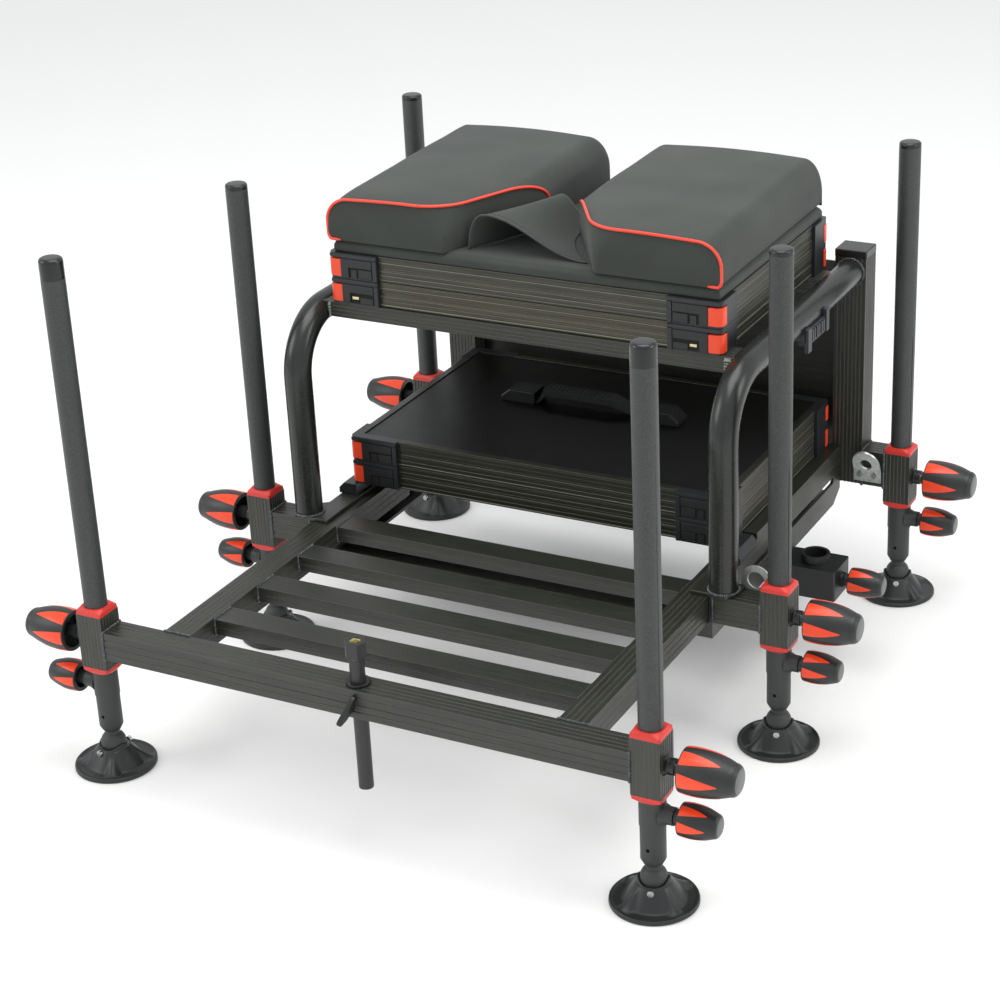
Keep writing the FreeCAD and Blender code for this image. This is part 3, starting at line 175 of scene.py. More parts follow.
world = bpy.data.worlds.new("studio")
bpy.context.scene.world = world
world.use_nodes = True
studio_air = world.node_tree.nodes["Background"]
studio_air.inputs["Color"].default_value = linear("f4f6f8")
studio_air.inputs["Strength"].default_value = 0.9
LAMPS_AIM = Vector((0, 0, 0.3))
for name, place, size, power in (
    ("lamp_over", (0.3, -0.2, 2.9), 2.0, 46.0),
    ("lamp_left", (-2.6, -1.9, 1.9), 1.6, 28.0),
    ("lamp_right", (2.9, 0.3, 1.7), 1.4, 24.0),
):
    light = bpy.data.lights.new(name, "AREA")
    light.shape = "SQUARE"
    light.size = size
    light.energy = power
    lamp = bpy.data.objects.new(name, light)
    bpy.context.collection.objects.link(lamp)
    lamp.location = place
    lamp.rotation_euler = (LAMPS_AIM - Vector(place)).to_track_quat("-Z", "Y").to_euler()


# Frame bars: side channels, tray rails, outriggers, crossbars and low beams of extruded aluminium, sawn,
# welded and powder coated satin black. The coat keeps the die's draw marks; its paler sharp edges are part
# wear of the thin coat and part painted highlight.

def solids(node):
    """The closed solids of a CAD node in the order drawn, each a list of faces by their corners."""
    bm = bmesh.new()
    bm.from_mesh(nodes[node].data)
    bm.verts.index_update()
    points = [tuple(v.co) for v in bm.verts]
    doubles = bmesh.ops.find_doubles(bm, verts=bm.verts, dist=1e-6)["targetmap"]
    same = {a.index: b.index for a, b in doubles.items()}
    found, faces, unpaired = [], [], set()
    for face in bm.faces:
        loop = [same.get(v.index, v.index) for v in face.verts]
        for a, b in zip(loop, loop[1:] + loop[:1]):
            if a != b:
                unpaired ^= {(min(a, b), max(a, b))}
        if len(set(loop)) == 3:
            faces.append([points[i] for i in loop])
        if not unpaired:
            found.append(faces)
            faces = []
    bm.free()
    return found


SHARP = math.radians(30)


def stand_for(bm, name, node, finishes, rounding):
    """Turns a bmesh into a piece that stands for a CAD node, its sharp edges rounded by so many mm."""
    made = object_of(bm, name)
    made.data.set_sharp_from_angle(angle=SHARP)
    for finish in finishes:
        made.data.materials.append(finish)
    if rounding:
        edge = made.modifiers.new("rounded_edges", "BEVEL")
        edge.width = rounding / 1000
        edge.segments = 2
        edge.limit_method = "ANGLE"
        edge.angle_limit = SHARP
        edge.harden_normals = True
    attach(made, nodes[node]["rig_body"])
    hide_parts(node)
    return made


def piece(name, node, picks, finishes, rounding=0.4):
    """Solids of a CAD node as one piece, with its flat faces joined."""
    bm = bmesh.new()
    for faces in picks:
        made = {}
        for loop in faces:
            for p in loop:
                if p not in made:
                    made[p] = bm.verts.new(p)
            corners = [made[p] for p in loop]
            if bm.faces.get(corners) is None:
                bm.faces.new(corners)
    bmesh.ops.dissolve_limit(bm, angle_limit=math.radians(0.5), verts=bm.verts, edges=bm.edges)
    return stand_for(bm, name, node, finishes, rounding)


def shade(code, times):
    """The linear colour of a hex code, made so many times as bright."""
    return tuple(min(1.0, v * times) for v in linear(code)[:3]) + (1.0,)


ALONG = {"x": (0.04, 1.0, 1.0), "y": (1.0, 0.04, 1.0), "z": (1.0, 1.0, 0.04)}


def drawn_metal(name, code, wear_and_highlight_code, along, roughness, metallic=0.0, rib_mm=0.0):
    """Coated or anodised extrusion: draw marks along one axis, 3 mm wide so that they show, and paler sharp
    edges, part wear of the thin coat and part painted highlight. Where rib_mm is given, it has ribs of that
    pitch, each with a painted shade in its root and a painted highlight on its crest."""
    mat, tree, shader = bare_material(name, Metallic=metallic, Specular_IOR_Level=0.7)
    at = add(tree, "ShaderNodeTexCoord")
    drawn = add(tree, "ShaderNodeMapping", Vector=(at, "Object"), Scale=ALONG[along])
    marks = add(tree, "ShaderNodeTexNoise", Vector=(drawn, "Vector"), Scale=330.0, Detail=4.0, Roughness=0.6)
    patch = add(tree, "ShaderNodeTexNoise", Vector=(at, "Object"), Scale=24.0, Detail=2.0)
    streak = add(tree, "ShaderNodeMapRange", Value=(marks, "Fac"), From_Min=0.3, From_Max=0.7)
    tone = mixed(tree, (streak, "Result"), shade(code, 0.55), shade(code, 1.45))
    height = streak
    if rib_mm:
        axes = add(tree, "ShaderNodeSeparateXYZ", Vector=(at, "Object"))
        turns = maths(tree, "MULTIPLY", (axes, "Z"), 1000 / rib_mm)
        share = maths(tree, "FRACT", (turns, 0))
        # Ribs: a painted shade darkens each rib's root and a painted highlight lightens its crest, on top of
        # the real bump.
        root = add(tree, "ShaderNodeMapRange", Value=(share, 0), From_Min=0.10, From_Max=0.16)
        level_z = add(tree, "ShaderNodeMapping", Vector=(at, "Object"), Scale=(0.0, 0.0, 1.0))
        uneven = add(tree, "ShaderNodeTexNoise", Vector=(level_z, "Vector"), Scale=140.0, Detail=1.0)
        worth = add(tree, "ShaderNodeMapRange", Value=(uneven, "Fac"), From_Min=0.40, From_Max=0.62,
                    To_Min=0.1)
        edge = add(tree, "ShaderNodeMapRange", Value=(share, 0), From_Min=0.84, From_Max=0.92)
        crest_highlight = maths(tree, "MULTIPLY", (edge, "Result"), (worth, "Result"))
        tone = mixed(tree, (root, "Result"), shade(code, 0.3), (tone, 2))
        tone = mixed(tree, (crest_highlight, 0), (tone, 2), linear(wear_and_highlight_code))
        height = maths(tree, "ADD", (root, "Result"), (crest_highlight, 0))
    # Paler sharp edges: part wear of the thin coat, part painted highlight where light catches the edge.
    soft = add(tree, "ShaderNodeBevel", {"samples": 4}, Radius=0.0007)
    shape = add(tree, "ShaderNodeNewGeometry")
    bend = add(tree, "ShaderNodeVectorMath", {"operation": "DOT_PRODUCT"}, i0=(soft, "Normal"),
               i1=(shape, "Normal"))
    rim = add(tree, "ShaderNodeMapRange", Value=(bend, "Value"), From_Min=0.995, From_Max=0.9, To_Min=0.0,
              To_Max=0.8)
    worn_and_highlit = mixed(tree, (rim, "Result"), (tone, 2), linear(wear_and_highlight_code))
    rough = add(tree, "ShaderNodeMapRange", Value=(patch, "Fac"), To_Min=roughness - 0.07,
                To_Max=roughness + 0.07)
    bump = add(tree, "ShaderNodeBump", Height=(height, 0), Strength=0.4, Distance=0.0003,
               Normal=(soft, "Normal"))
    feed(tree, shader, {"Base Color": (worn_and_highlit, 2), "Roughness": (rough, "Result"), "Normal": (bump, "Normal")})
    return mat


COAT = "20221a"
# The paler colour of the bars' sharp edges: part wear of the coat, part painted highlight.
COAT_WEAR_AND_HIGHLIGHT = "66675a"
coat_x = drawn_metal("satin_black_coated_bar_across", COAT, COAT_WEAR_AND_HIGHLIGHT, "x", 0.42)
coat_y = drawn_metal("satin_black_coated_bar_fore_and_aft", COAT, COAT_WEAR_AND_HIGHLIGHT, "y", 0.42)
coat_z = drawn_metal("satin_black_coated_bar_upright", COAT, COAT_WEAR_AND_HIGHLIGHT, "z", 0.42)
piece("side_channel_bars", "side_channels", solids("side_channels"), [coat_y])
piece("crossbars_and_outriggers", "frame_crossbars", solids("frame_crossbars"), [coat_x])


# Clamp blocks: short lengths of finely ribbed square tube that stand round the legs, with a turned boss on
# the outer side for the knob's screw. The boss is glossier, because it was machined before the coat went on.

def moulded(name, code, roughness, grain_mm, depth_mm, **values):
    """Moulded or smoothly coated surface: faint mottling, a fine grain and softened edges."""
    mat, tree, shader = bare_material(name, **values)
    at = add(tree, "ShaderNodeTexCoord")
    grain = add(tree, "ShaderNodeTexNoise", Vector=(at, "Object"), Scale=1000 / grain_mm, Detail=2.0)
    patch = add(tree, "ShaderNodeTexNoise", Vector=(at, "Object"), Scale=35.0, Detail=3.0)
    tone = mixed(tree, (patch, "Fac"), shade(code, 0.8), shade(code, 1.18))
    fleck = add(tree, "ShaderNodeMix", {"data_type": "RGBA", "blend_type": "OVERLAY"}, i0=0.35, i6=(tone, 2),
                i7=(grain, "Fac"))
    rough = add(tree, "ShaderNodeMapRange", Value=(patch, "Fac"), To_Min=roughness - 0.06,
                To_Max=roughness + 0.06)
    soft = add(tree, "ShaderNodeBevel", {"samples": 4}, Radius=0.0005)
    bump = add(tree, "ShaderNodeBump", Height=(grain, "Fac"), Strength=0.5, Distance=depth_mm / 1000,
               Normal=(soft, "Normal"))
    feed(tree, shader, {"Base Color": (fleck, 2), "Roughness": (rough, "Result"),
                        "Normal": (bump, "Normal")})
    return mat


boss_black = moulded("gloss_black_coated_boss", "1d1e1d", 0.27, 1.5, 0.03)
block = solids("base_clamp_blocks")
piece("base_clamp_block_tubes", "base_clamp_blocks", [block[i] for i in (0, 1, 4, 5)], [coat_z],
      0.3)
piece("base_clamp_bosses", "base_clamp_blocks", [block[i] for i in (2, 3, 6, 7)], [boss_black],
      0.5)
block = solids("footplate_clamp_blocks")
piece("footplate_clamp_block_tubes", "footplate_clamp_blocks", block[0:2], [coat_z], 0.3)
piece("footplate_clamp_bosses", "footplate_clamp_blocks", block[2:4], [boss_black], 0.5)


# Guide bushes: red acetal mouldings pushed into both ends of each clamp block.
# Their satin red has a slight pink bloom, and the corners are dished round the leg.
bush_red = moulded("satin_red_acetal", "cf3129", 0.40, 1.2, 0.05)
piece("base_guide_bushes", "base_bushes", solids("base_bushes"), [bush_red], 0.5)
piece("footplate_guide_bushes", "footplate_bushes", solids("footplate_bushes"), [bush_red], 0.5)


# Arches: 32 mm aluminium tube bent in one piece, welded on foot plates at the front and to the posts behind.
# The bend polishes the coat, so the tube is glossier than the bars and shows long highlights.
arch_black = moulded("semi_gloss_black_coated_tube", "1f221f", 0.27, 2.2, 0.05)
arch = solids("arch_frame")
piece("arch_tubes", "arch_frame", arch[0:2], [arch_black], 0)
piece("arch_foot_plates", "arch_frame", arch[2:4], [coat_y], 0.8)


# Weld beads: overlapping scales of filler metal, 2 mm apart, left where bars, blocks, posts and tubes meet.
# The coat is thin on them, so they shine blue-grey. Each bead follows the outline of its joint.

def bead_tree(name):
    """Node tree that sets small beads along the edges of a mesh, their long axis along the path."""
    tree = bpy.data.node_groups.new(name, "GeometryNodeTree")
    for socket, kind in (("Path", "Geometry"), ("Spacing", "Float"), ("Bead Size", "Vector"),
                         ("Unevenness", "Float"), ("Seed", "Int"), ("Finish", "Material")):
        tree.interface.new_socket(socket, in_out="INPUT", socket_type="NodeSocket" + kind)
    tree.interface.new_socket("Beads", in_out="OUTPUT", socket_type="NodeSocketGeometry")
    given = add(tree, "NodeGroupInput")
    line = add(tree, "GeometryNodeMeshToCurve", Mesh=(given, "Path"))
    places = add(tree, "GeometryNodeCurveToPoints", {"mode": "LENGTH"}, Curve=(line, "Curve"),
                 Length=(given, "Spacing"))
    ball = add(tree, "GeometryNodeMeshUVSphere", Segments=8, Rings=6, Radius=0.5)
    shaped = add(tree, "GeometryNodeTransform", Geometry=(ball, "Mesh"), Scale=(given, "Bead Size"))
    least = maths(tree, "SUBTRACT", 1.0, (given, "Unevenness"))
    most = maths(tree, "ADD", 1.0, (given, "Unevenness"))
    size = add(tree, "FunctionNodeRandomValue", {"data_type": "FLOAT"}, i2=(least, 0), i3=(most, 0),
               Seed=(given, "Seed"))
    beads = add(tree, "GeometryNodeInstanceOnPoints", Points=(places, "Points"),
                Instance=(shaped, "Geometry"), Rotation=(places, "Rotation"), Scale=(size, 1))
    whole = add(tree, "GeometryNodeRealizeInstances", Geometry=(beads, "Instances"))
    smooth = add(tree, "GeometryNodeSetShadeSmooth", Geometry=(whole, "Geometry"))
    done = add(tree, "GeometryNodeSetMaterial", Geometry=(smooth, "Geometry"), Material=(given, "Finish"))
    add(tree, "NodeGroupOutput", Beads=(done, "Geometry"))
    return tree


def beads_along(name, paths, tree, values, body):
    """Grows a bead tree on paths, each a list of points, and keeps the beads as one piece on a body."""
    mesh = bpy.data.meshes.new(name + "_path")
    points = [p for path in paths for p in path]
    edges, start = [], 0
    for path in paths:
        edges += [(start + i, start + i + 1) for i in range(len(path) - 1)]
        start += len(path)
    mesh.from_pydata(points, edges, [])
    source = bpy.data.objects.new(name + "_path", mesh)
    bpy.context.collection.objects.link(source)
    grow = source.modifiers.new("beads", "NODES")
    grow.node_group = tree
    for socket in tree.interface.items_tree:
        if socket.name in values:
            grow[socket.identifier] = values[socket.name]
    bpy.context.view_layer.update()
    grown = bpy.data.meshes.new_from_object(source.evaluated_get(bpy.context.evaluated_depsgraph_get()))
    source.modifiers.remove(grow)
    bpy.data.objects.remove(source)
    grown.name = name
    made = bpy.data.objects.new(name, grown)
    bpy.context.collection.objects.link(made)
    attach(made, body)
    return made


def ring(centre, radius, steps=40):
    """Points of a level circle, closed."""
    out = []
    for i in range(steps + 1):
        a = math.radians(360.0 * i / steps)
        out.append((centre[0] + radius * math.cos(a), centre[1] + radius * math.sin(a), centre[2]))
    return out


def upright_frame(x, row, heights):
    """Corner points of a bar's outline in the plane at x, closed; row is the middle of its depth."""
    y0, y1 = row - BAR_HALF, row + BAR_HALF
    z0, z1 = heights
    return [(x, y0, z0), (x, y1, z0), (x, y1, z1), (x, y0, z1), (x, y0, z0)]


weld_metal, weld_nodes, weld_shader = bare_material("coated_weld_bead", Metallic=0.8)
weld_at = add(weld_nodes, "ShaderNodeTexCoord")
weld_patch = add(weld_nodes, "ShaderNodeTexNoise", Vector=(weld_at, "Object"), Scale=260.0, Detail=2.0)
weld_tone = mixed(weld_nodes, (weld_patch, "Fac"), linear("161717"), linear("7b8081"))
weld_rough = add(weld_nodes, "ShaderNodeMapRange", Value=(weld_patch, "Fac"), To_Min=0.22, To_Max=0.5)
feed(weld_nodes, weld_shader, {"Base Color": (weld_tone, 2), "Roughness": (weld_rough, "Result")})

BLOCK_X = 0.3085
CHANNEL_X = 0.254
RAIL_X = 0.2175
RAIL_OUTER_X = 0.2495
POST_X = 0.2812
BAR_HALF = 0.016
FRONT_ROW = -0.36175
MIDDLE_ROW = -0.03275
REAR_ROW = 0.36175
SLAT_ROWS = (-0.2838, -0.2002, -0.1168, -0.0332)
FRONT_BEAM_Z = (0.140, 0.172)
SLAT_Z = (0.152, 0.170)
MIDDLE_BAR_Z = (0.1404, 0.1724)
REAR_BAR_Z = (0.144, 0.188)
BEAM_BACK_Y = -0.3458
RAIL_TOP_Z = 0.1722
ARCH_X = 0.262
ARCH_FOOT_Y, ARCH_FOOT_Z = -0.03575, 0.1770
ARCH_END_Y, ARCH_END_Z = 0.3452, 0.411
FOOT_BEAD_R = 0.0168
END_BEAD_R = 0.0166
weld_tree = bead_tree("weld_beads")
WELD = {"Spacing": 0.0021, "Bead Size": (0.0036, 0.0036, 0.0028), "Unevenness": 0.22, "Seed": 7,
        "Finish": weld_metal}
frame_welds, footplate_welds = [], []
for side in (-1, 1):
    footplate_welds.append(upright_frame(side * BLOCK_X, FRONT_ROW, FRONT_BEAM_Z))
    for slat in SLAT_ROWS:
        footplate_welds.append(upright_frame(side * RAIL_X, slat, SLAT_Z))
    footplate_welds.append([(side * x, BEAM_BACK_Y, RAIL_TOP_Z) for x in (RAIL_X, RAIL_OUTER_X)])
    for x in (BLOCK_X, CHANNEL_X):
        frame_welds.append(upright_frame(side * x, MIDDLE_ROW, MIDDLE_BAR_Z))
    for x in (BLOCK_X, POST_X):
        frame_welds.append(upright_frame(side * x, REAR_ROW, REAR_BAR_Z))
    frame_welds.append(ring((side * ARCH_X, ARCH_FOOT_Y, ARCH_FOOT_Z), FOOT_BEAD_R))
    turns = [math.radians(9 * i) for i in range(41)]
    frame_welds.append([(side * ARCH_X + END_BEAD_R * math.cos(a), ARCH_END_Y,
                         ARCH_END_Z + END_BEAD_R * math.sin(a)) for a in turns])
beads_along("frame_weld_beads", frame_welds, weld_tree, WELD, "frame")
beads_along("footplate_weld_beads", footplate_welds, weld_tree, WELD, "footplate")

# The upper crossbar is welded to the arches' bends after coating, with a broad bright bead at each end.
bright_weld = moulded("bare_aluminium_weld", "7d807a", 0.4, 0.9, 0.05, Metallic=0.7)
END_BEAD_ROWS = (-0.2440, 0.2440, 0.2465, 0.2490)
END_BEAD_PATH = ((0.0140, 0.4055), (0.0140, 0.4200), (0.0440, 0.4203))
crossbar_ends = [[(x, y, z) for y, z in END_BEAD_PATH] for x in END_BEAD_ROWS]
beads_along("crossbar_end_beads", crossbar_ends, weld_tree,
            {"Spacing": 0.0030, "Bead Size": (0.0044, 0.0044, 0.0040), "Unevenness": 0.2, "Seed": 11,
             "Finish": bright_weld}, "frame")


# Back frame: two ribbed posts that stand behind the trays, with a sheet panel riveted between them.
back = solids("rear_frame")
piece("rear_posts", "rear_frame", back[0:2], [coat_z])


def join_rings(bm, rings):
    """Joins each ring of corners to the next one with a band of faces."""
    for low, high in zip(rings, rings[1:]):
        for i in range(len(low)):
            j = (i + 1) % len(low)
            bm.faces.new((low[i], low[j], high[j], high[i]))


def drawn_out(prisms):
    """A bmesh of prisms, each an outline of points in mm and the vector in mm that draws it out."""
    bm = bmesh.new()
    for outline, way in prisms:
        near = [bm.verts.new(Vector(p) / 1000) for p in outline]
        far = [bm.verts.new((Vector(p) + Vector(way)) / 1000) for p in outline]
        bm.faces.new(near)
        bm.faces.new(far[::-1])
        join_rings(bm, [near, far])
    bmesh.ops.recalc_face_normals(bm, faces=bm.faces)
    return bm


def upright_box(x0, x1, y0, y1, z0, z1):
    """Prism of a box between two corners, in mm."""
    return [(x0, y0, z0), (x1, y0, z0), (x1, y1, z0), (x0, y1, z0)], (0, 0, z1 - z0)


cap_boxes = [upright_box(side * 242.4, side * 281.6, 345.2, 379.8, 428.5, 437.9) for side in (-1, 1)]
stand_for(drawn_out(cap_boxes), "rear_post_caps", "rear_frame", [boss_black], 1.5)
piece("back_panel", "rear_frame", back[2:3], [coat_x], 0.6)


# Footplate: a ribbed front beam, two side rails and four slats of the same coated extrusion, welded flush.
foot = solids("footplate_frame")
piece("footplate_beam_and_slats", "footplate_frame", foot[0:1] + foot[4:8], [coat_x])
piece("footplate_side_rails", "footplate_frame", foot[2:4], [coat_y])
piece("accessory_rod_collar", "footplate_frame", foot[1:2], [boss_black])


# Accessory rod: a coated aluminium rod that slides through the front beam, with a hexagonal head and a brass
# threaded insert. A plastic wing screw in the beam's face holds it.
brass = moulded("turned_brass", "d9cf9c", 0.33, 0.8, 0.02, Metallic=1.0)
rod_black = moulded("satin_black_coated_rod", "2a2b2a", 0.42, 1.1, 0.06)
wing_black = moulded("satin_black_nylon", "1c1d1e", 0.40, 0.9, 0.06)
rod = solids("accessory_rod")
ROD_Y = -361.75
ROD_HEAD_LOW = 202.5
ROD_TOP = 221.0
ROD_HEAD_R = 12.1
ROD_R = 7.9
WASHER_R = 8.7
BORE_R = 6.4
INSERT_R = 6.5


def turned(x, y, turns, sides, first_turn=0.0):
    """A bmesh turned about an upright axis at x, y from (radius, height) pairs in mm, closed at its ends."""
    bm = bmesh.new()
    rows = []
    for radius, height in turns:
        angles = [first_turn + 2 * math.pi * i / sides for i in range(sides)]
        rows.append([bm.verts.new(((x + radius * math.cos(a)) / 1000, (y + radius * math.sin(a)) / 1000,
                                   height / 1000)) for a in angles])
    join_rings(bm, rows)
    bmesh.ops.remove_doubles(bm, verts=bm.verts, dist=1e-6)
    bmesh.ops.holes_fill(bm, edges=bm.edges, sides=0)
    bmesh.ops.recalc_face_normals(bm, faces=bm.faces)
    return bm


piece("accessory_rod_shaft", "accessory_rod", rod[0:1], [rod_black], 0.5)
neck = turned(0, ROD_Y, [(ROD_R, 191.5), (ROD_R, ROD_HEAD_LOW + 0.5)], 40)
stand_for(neck, "accessory_rod_neck", "accessory_rod", [rod_black], 0.2)
washer = turned(0, ROD_Y, [(ROD_R, ROD_HEAD_LOW - 1.0), (WASHER_R, ROD_HEAD_LOW - 1.0),
                           (WASHER_R, ROD_HEAD_LOW + 0.3)], 40)
stand_for(washer, "accessory_rod_washer", "accessory_rod", [brass], 0.2)
head = turned(0, ROD_Y, [(ROD_HEAD_R, ROD_HEAD_LOW), (ROD_HEAD_R, ROD_TOP), (BORE_R, ROD_TOP),
                         (BORE_R, ROD_HEAD_LOW)], 6, math.radians(8))
stand_for(head, "accessory_rod_head", "accessory_rod", [rod_black], 0.6)
insert = turned(0, ROD_Y, [(INSERT_R, ROD_TOP - 1.2), (4.6, ROD_TOP - 1.2), (4.2, ROD_TOP - 2.2),
                           (4.2, 203.0), (INSERT_R, 203.0), (INSERT_R, ROD_TOP - 1.2)], 36)
stand_for(insert, "accessory_rod_insert", "accessory_rod", [brass], 0)

# The wing is one flat paddle, moulded round a steel screw and leaning down to the left.
WING_LEAN = (-0.34, 0.0, -0.94)
WING_OUTLINE = ((-15, 7), (-15.5, 11), (-13, 15), (-7, 19), (1, 24), (8, 29), (12, 29.5), (14, 26), (12, 17),
                (7, 10), (4, 5), (-6, 4))
WING_ROOT_Y = -369.9
WING_ROOT_Z = 152.0
STUD_R = 2.6
wing_across = Vector((0.94, 0.0, -0.34)) * 2.7
outline = [Vector((0, WING_ROOT_Y - out, WING_ROOT_Z)) + Vector(WING_LEAN) * along - wing_across
           for along, out in WING_OUTLINE]
stand_for(drawn_out([(outline, wing_across * 2)]), "wing_screw_paddle", "wing_screw", [wing_black],
          1.2)
stud_ring = [(STUD_R * math.cos(a), WING_ROOT_Y, WING_ROOT_Z + STUD_R * math.sin(a))
             for a in (math.radians(20 * i) for i in range(18))]
stand_for(drawn_out([(stud_ring, (0, -5.5, 0))]), "wing_screw_stud", "wing_screw", [bright_weld],
          0.3)


# Lugs: two eyes stamped from zinc-plated sheet, each held by two small screws. One sits on an outrigger, and
# the other leans forward by the right post. The plating shows a faint spangle.
zinc, zinc_nodes, zinc_shader = bare_material("zinc_plated_sheet", Metallic=0.6)
zinc_at = add(zinc_nodes, "ShaderNodeTexCoord")
zinc_spangle = add(zinc_nodes, "ShaderNodeTexVoronoi", Vector=(zinc_at, "Object"), Scale=260.0)
zinc_scratch = add(zinc_nodes, "ShaderNodeTexNoise", Vector=(zinc_at, "Object"), Scale=900.0, Detail=3.0)
zinc_tone = mixed(zinc_nodes, (zinc_spangle, "Distance"), linear("c9cdca"), linear("a7ada9"))
zinc_rough = add(zinc_nodes, "ShaderNodeMapRange", Value=(zinc_scratch, "Fac"), To_Min=0.22, To_Max=0.45)
feed(zinc_nodes, zinc_shader, {"Base Color": (zinc_tone, 2), "Roughness": (zinc_rough, "Result")})
steel = moulded("stainless_screw_steel", "b7b9b8", 0.25, 0.7, 0.01, Metallic=1.0)
lug = solids("tie_lugs")


def drawn_up(faces, times, lift):
    """A solid's faces stretched upwards from their lowest point and lifted."""
    foot = min(p[2] for loop in faces for p in loop)
    return [[(p[0], p[1], foot + (p[2] - foot) * times + lift) for p in loop] for loop in faces]


REAR_LUG_Y = 0.2
REAR_LUG_STRETCH = 1.3
REAR_SCREW_LIFT = 0.004


def is_rear(faces):
    """Whether a solid belongs to the lug by the post."""
    return min(p[1] for loop in faces for p in loop) > REAR_LUG_Y


plates = [drawn_up(faces, REAR_LUG_STRETCH, 0.0) if is_rear(faces) else faces for faces in lug[0:2]]
screws = [drawn_up(faces, 1.0, REAR_SCREW_LIFT) if is_rear(faces) else faces for faces in lug[2:6]]
piece("tie_lug_plates", "tie_lugs", plates, [zinc], 0.4)
piece("tie_lug_screws", "tie_lugs", screws, [steel], 0.4)


# Side fittings: moulded blocks under the front corners of the lower trays, the ladder buckle on the right
# arch, and the clamp with an upright socket under the right channel. All are black glass-filled nylon.
grained_black = moulded("grained_blue_black_nylon", "1e2124", 0.36, 1.3, 0.14)
piece("tray_bracket_blocks", "tray_brackets", solids("tray_brackets"), [grained_black], 0.8)
# The buckle hangs on the outer side of the arch tube: a ladder body with cross teeth between two cheeks.
buckle = [upright_box(268, 280.5, 156, 222, 393, 405), upright_box(278, 283, 156, 167, 380, 408),
          upright_box(278, 283, 212, 221, 387, 414), upright_box(270, 281, 158, 218, 387, 393)]
TOOTH_PITCH = 7
buckle += [upright_box(280, 283 - 0.4 * (i % 2), 169 + TOOTH_PITCH * i, 173 + TOOTH_PITCH * i, 390, 404)
           for i in range(6)]
buckle_grey = moulded("grey_black_nylon_buckle", "2f3336", 0.4, 1.1, 0.08)
stand_for(drawn_out(buckle), "ladder_buckle", "strap_buckle", [buckle_grey], 0.8)
piece("socket_clamp", "accessory_clamp", solids("accessory_clamp"), [wing_black], 1.2)


# Trays: four anodised profiles between moulded corners, with a thin sheet floor. The anodising is a dark
# olive black, a shade warmer on the upper tray and darkened by painted shade on the lower tray and the lid,
# with the die lines along each profile, painted shade in each rib's root and painted highlight on its crest.
# The paler colour of the trays' sharp edges and rib crests: painted highlight, on the edges also wear.
TRAY_WEAR_AND_HIGHLIGHT = "8a8878"
RIB_PITCH = 4.95
olive_x = drawn_metal("olive_black_anodised_profile_across", "343428", TRAY_WEAR_AND_HIGHLIGHT, "x", 0.34, 0.3, RIB_PITCH)
olive_y = drawn_metal("olive_black_anodised_profile_fore_and_aft", "303027", TRAY_WEAR_AND_HIGHLIGHT, "y", 0.34, 0.3,
                      RIB_PITCH)
warm_x = drawn_metal("warm_olive_anodised_profile_across", "3b3828", TRAY_WEAR_AND_HIGHLIGHT, "x", 0.34, 0.3, RIB_PITCH)
# A darker copy of the olive anodising for the lower tray and the lid: painted shade.
painted_shade_x = drawn_metal("olive_anodised_profile_across_in_painted_shade", "23231a", TRAY_WEAR_AND_HIGHLIGHT, "x", 0.34, 0.3, RIB_PITCH)
for node, across in (("lower_tray", painted_shade_x), ("upper_tray", warm_x), ("seat_tray", olive_x),
                     ("lid_tray", painted_shade_x)):
    tray = solids(node)
    first = 5 if node in ("lower_tray", "upper_tray") else 4
    piece(node + "_front_and_back", node, tray[0:2], [across], 0.3)
    piece(node + "_sides", node, tray[2:4], [olive_y], 0.3)
    piece(node + "_corners", node, tray[first:first + 4], [grained_black], 0.6)
    if first == 5:
        piece(node + "_floor", node, tray[4:5], [rod_black], 0.2)
        piece(node + "_hinge_leaves", node, tray[9:11], [rod_black], 0.3)


# Lid: the same profiles closed by a black laminate panel, with hinge leaves, the two fixed rear catches
# and the caps of the carrying handle.
panel_black = moulded("gloss_black_laminate", "0d0d0b", 0.38, 3.0, 0.02, Specular_IOR_Level=0.35)
catch_red = moulded("gloss_red_orange_acetal", "f4461f", 0.30, 1.1, 0.03)
lid = solids("lid_tray")
piece("lid_panel", "lid_tray", lid[12:13], [panel_black], 0.6)
piece("lid_rear_catch_ends", "lid_tray", lid[8:10], [catch_red], 0.8)
piece("lid_rear_catch_bars", "lid_tray", lid[10:12], [wing_black], 0.3)
piece("lid_handle_caps", "lid_tray", lid[13:15], [wing_black], 2.0)
piece("lid_hinge_leaves", "lid_tray", lid[15:17], [rod_black], 0.3)
piece("seat_hinge_leaves", "seat_tray", solids("seat_tray")[8:10], [rod_black], 0.3)
handle_rubber = moulded("matt_black_handle_rubber", "202122", 0.48, 0.9, 0.08)
piece("lid_handle_strap", "lid_handle", solids("lid_handle"), [handle_rubber], 0.5)


# Sliding catches: red-orange acetal ends that wrap the rounded tray corners, each on a black bar that slides
# over the face of the corner moulding. The bar is cut away over a stop block and a spring tongue.
RED_LOW, RED_HIGH = 1.9, 22.6
CAD_RED_LOW, CAD_RED_HIGH = 5.9, 23.9
TRAY_FEET = {"lower_tray": 190.5, "lid_tray": 220.5, "upper_tray": 422.5, "seat_tray": 452.5}
FACES = {"lower_tray": (29.25, 341.25), "lid_tray": (29.25, 341.25), "upper_tray": (14.25, 326.25),
         "seat_tray": (14.25, 326.25)}
# Near-black thin sheets on the corner faces stand for the shade inside each catch's recess: painted shade.
recess_shade = moulded("painted_shade_in_recess", "080908", 0.8, 1.1, 0.05)


def on_face(tray, side, end, outline, proud, behind=0.0):
    """Prism on a corner's front (end 0) or back (end 1), outlined in mm from the tray's middle and foot."""
    way = 1 if end else -1
    y = FACES[tray][end] - way * behind
    return [(side * x, y, TRAY_FEET[tray] + z) for x, z in outline], (0, way * (proud + behind), 0)


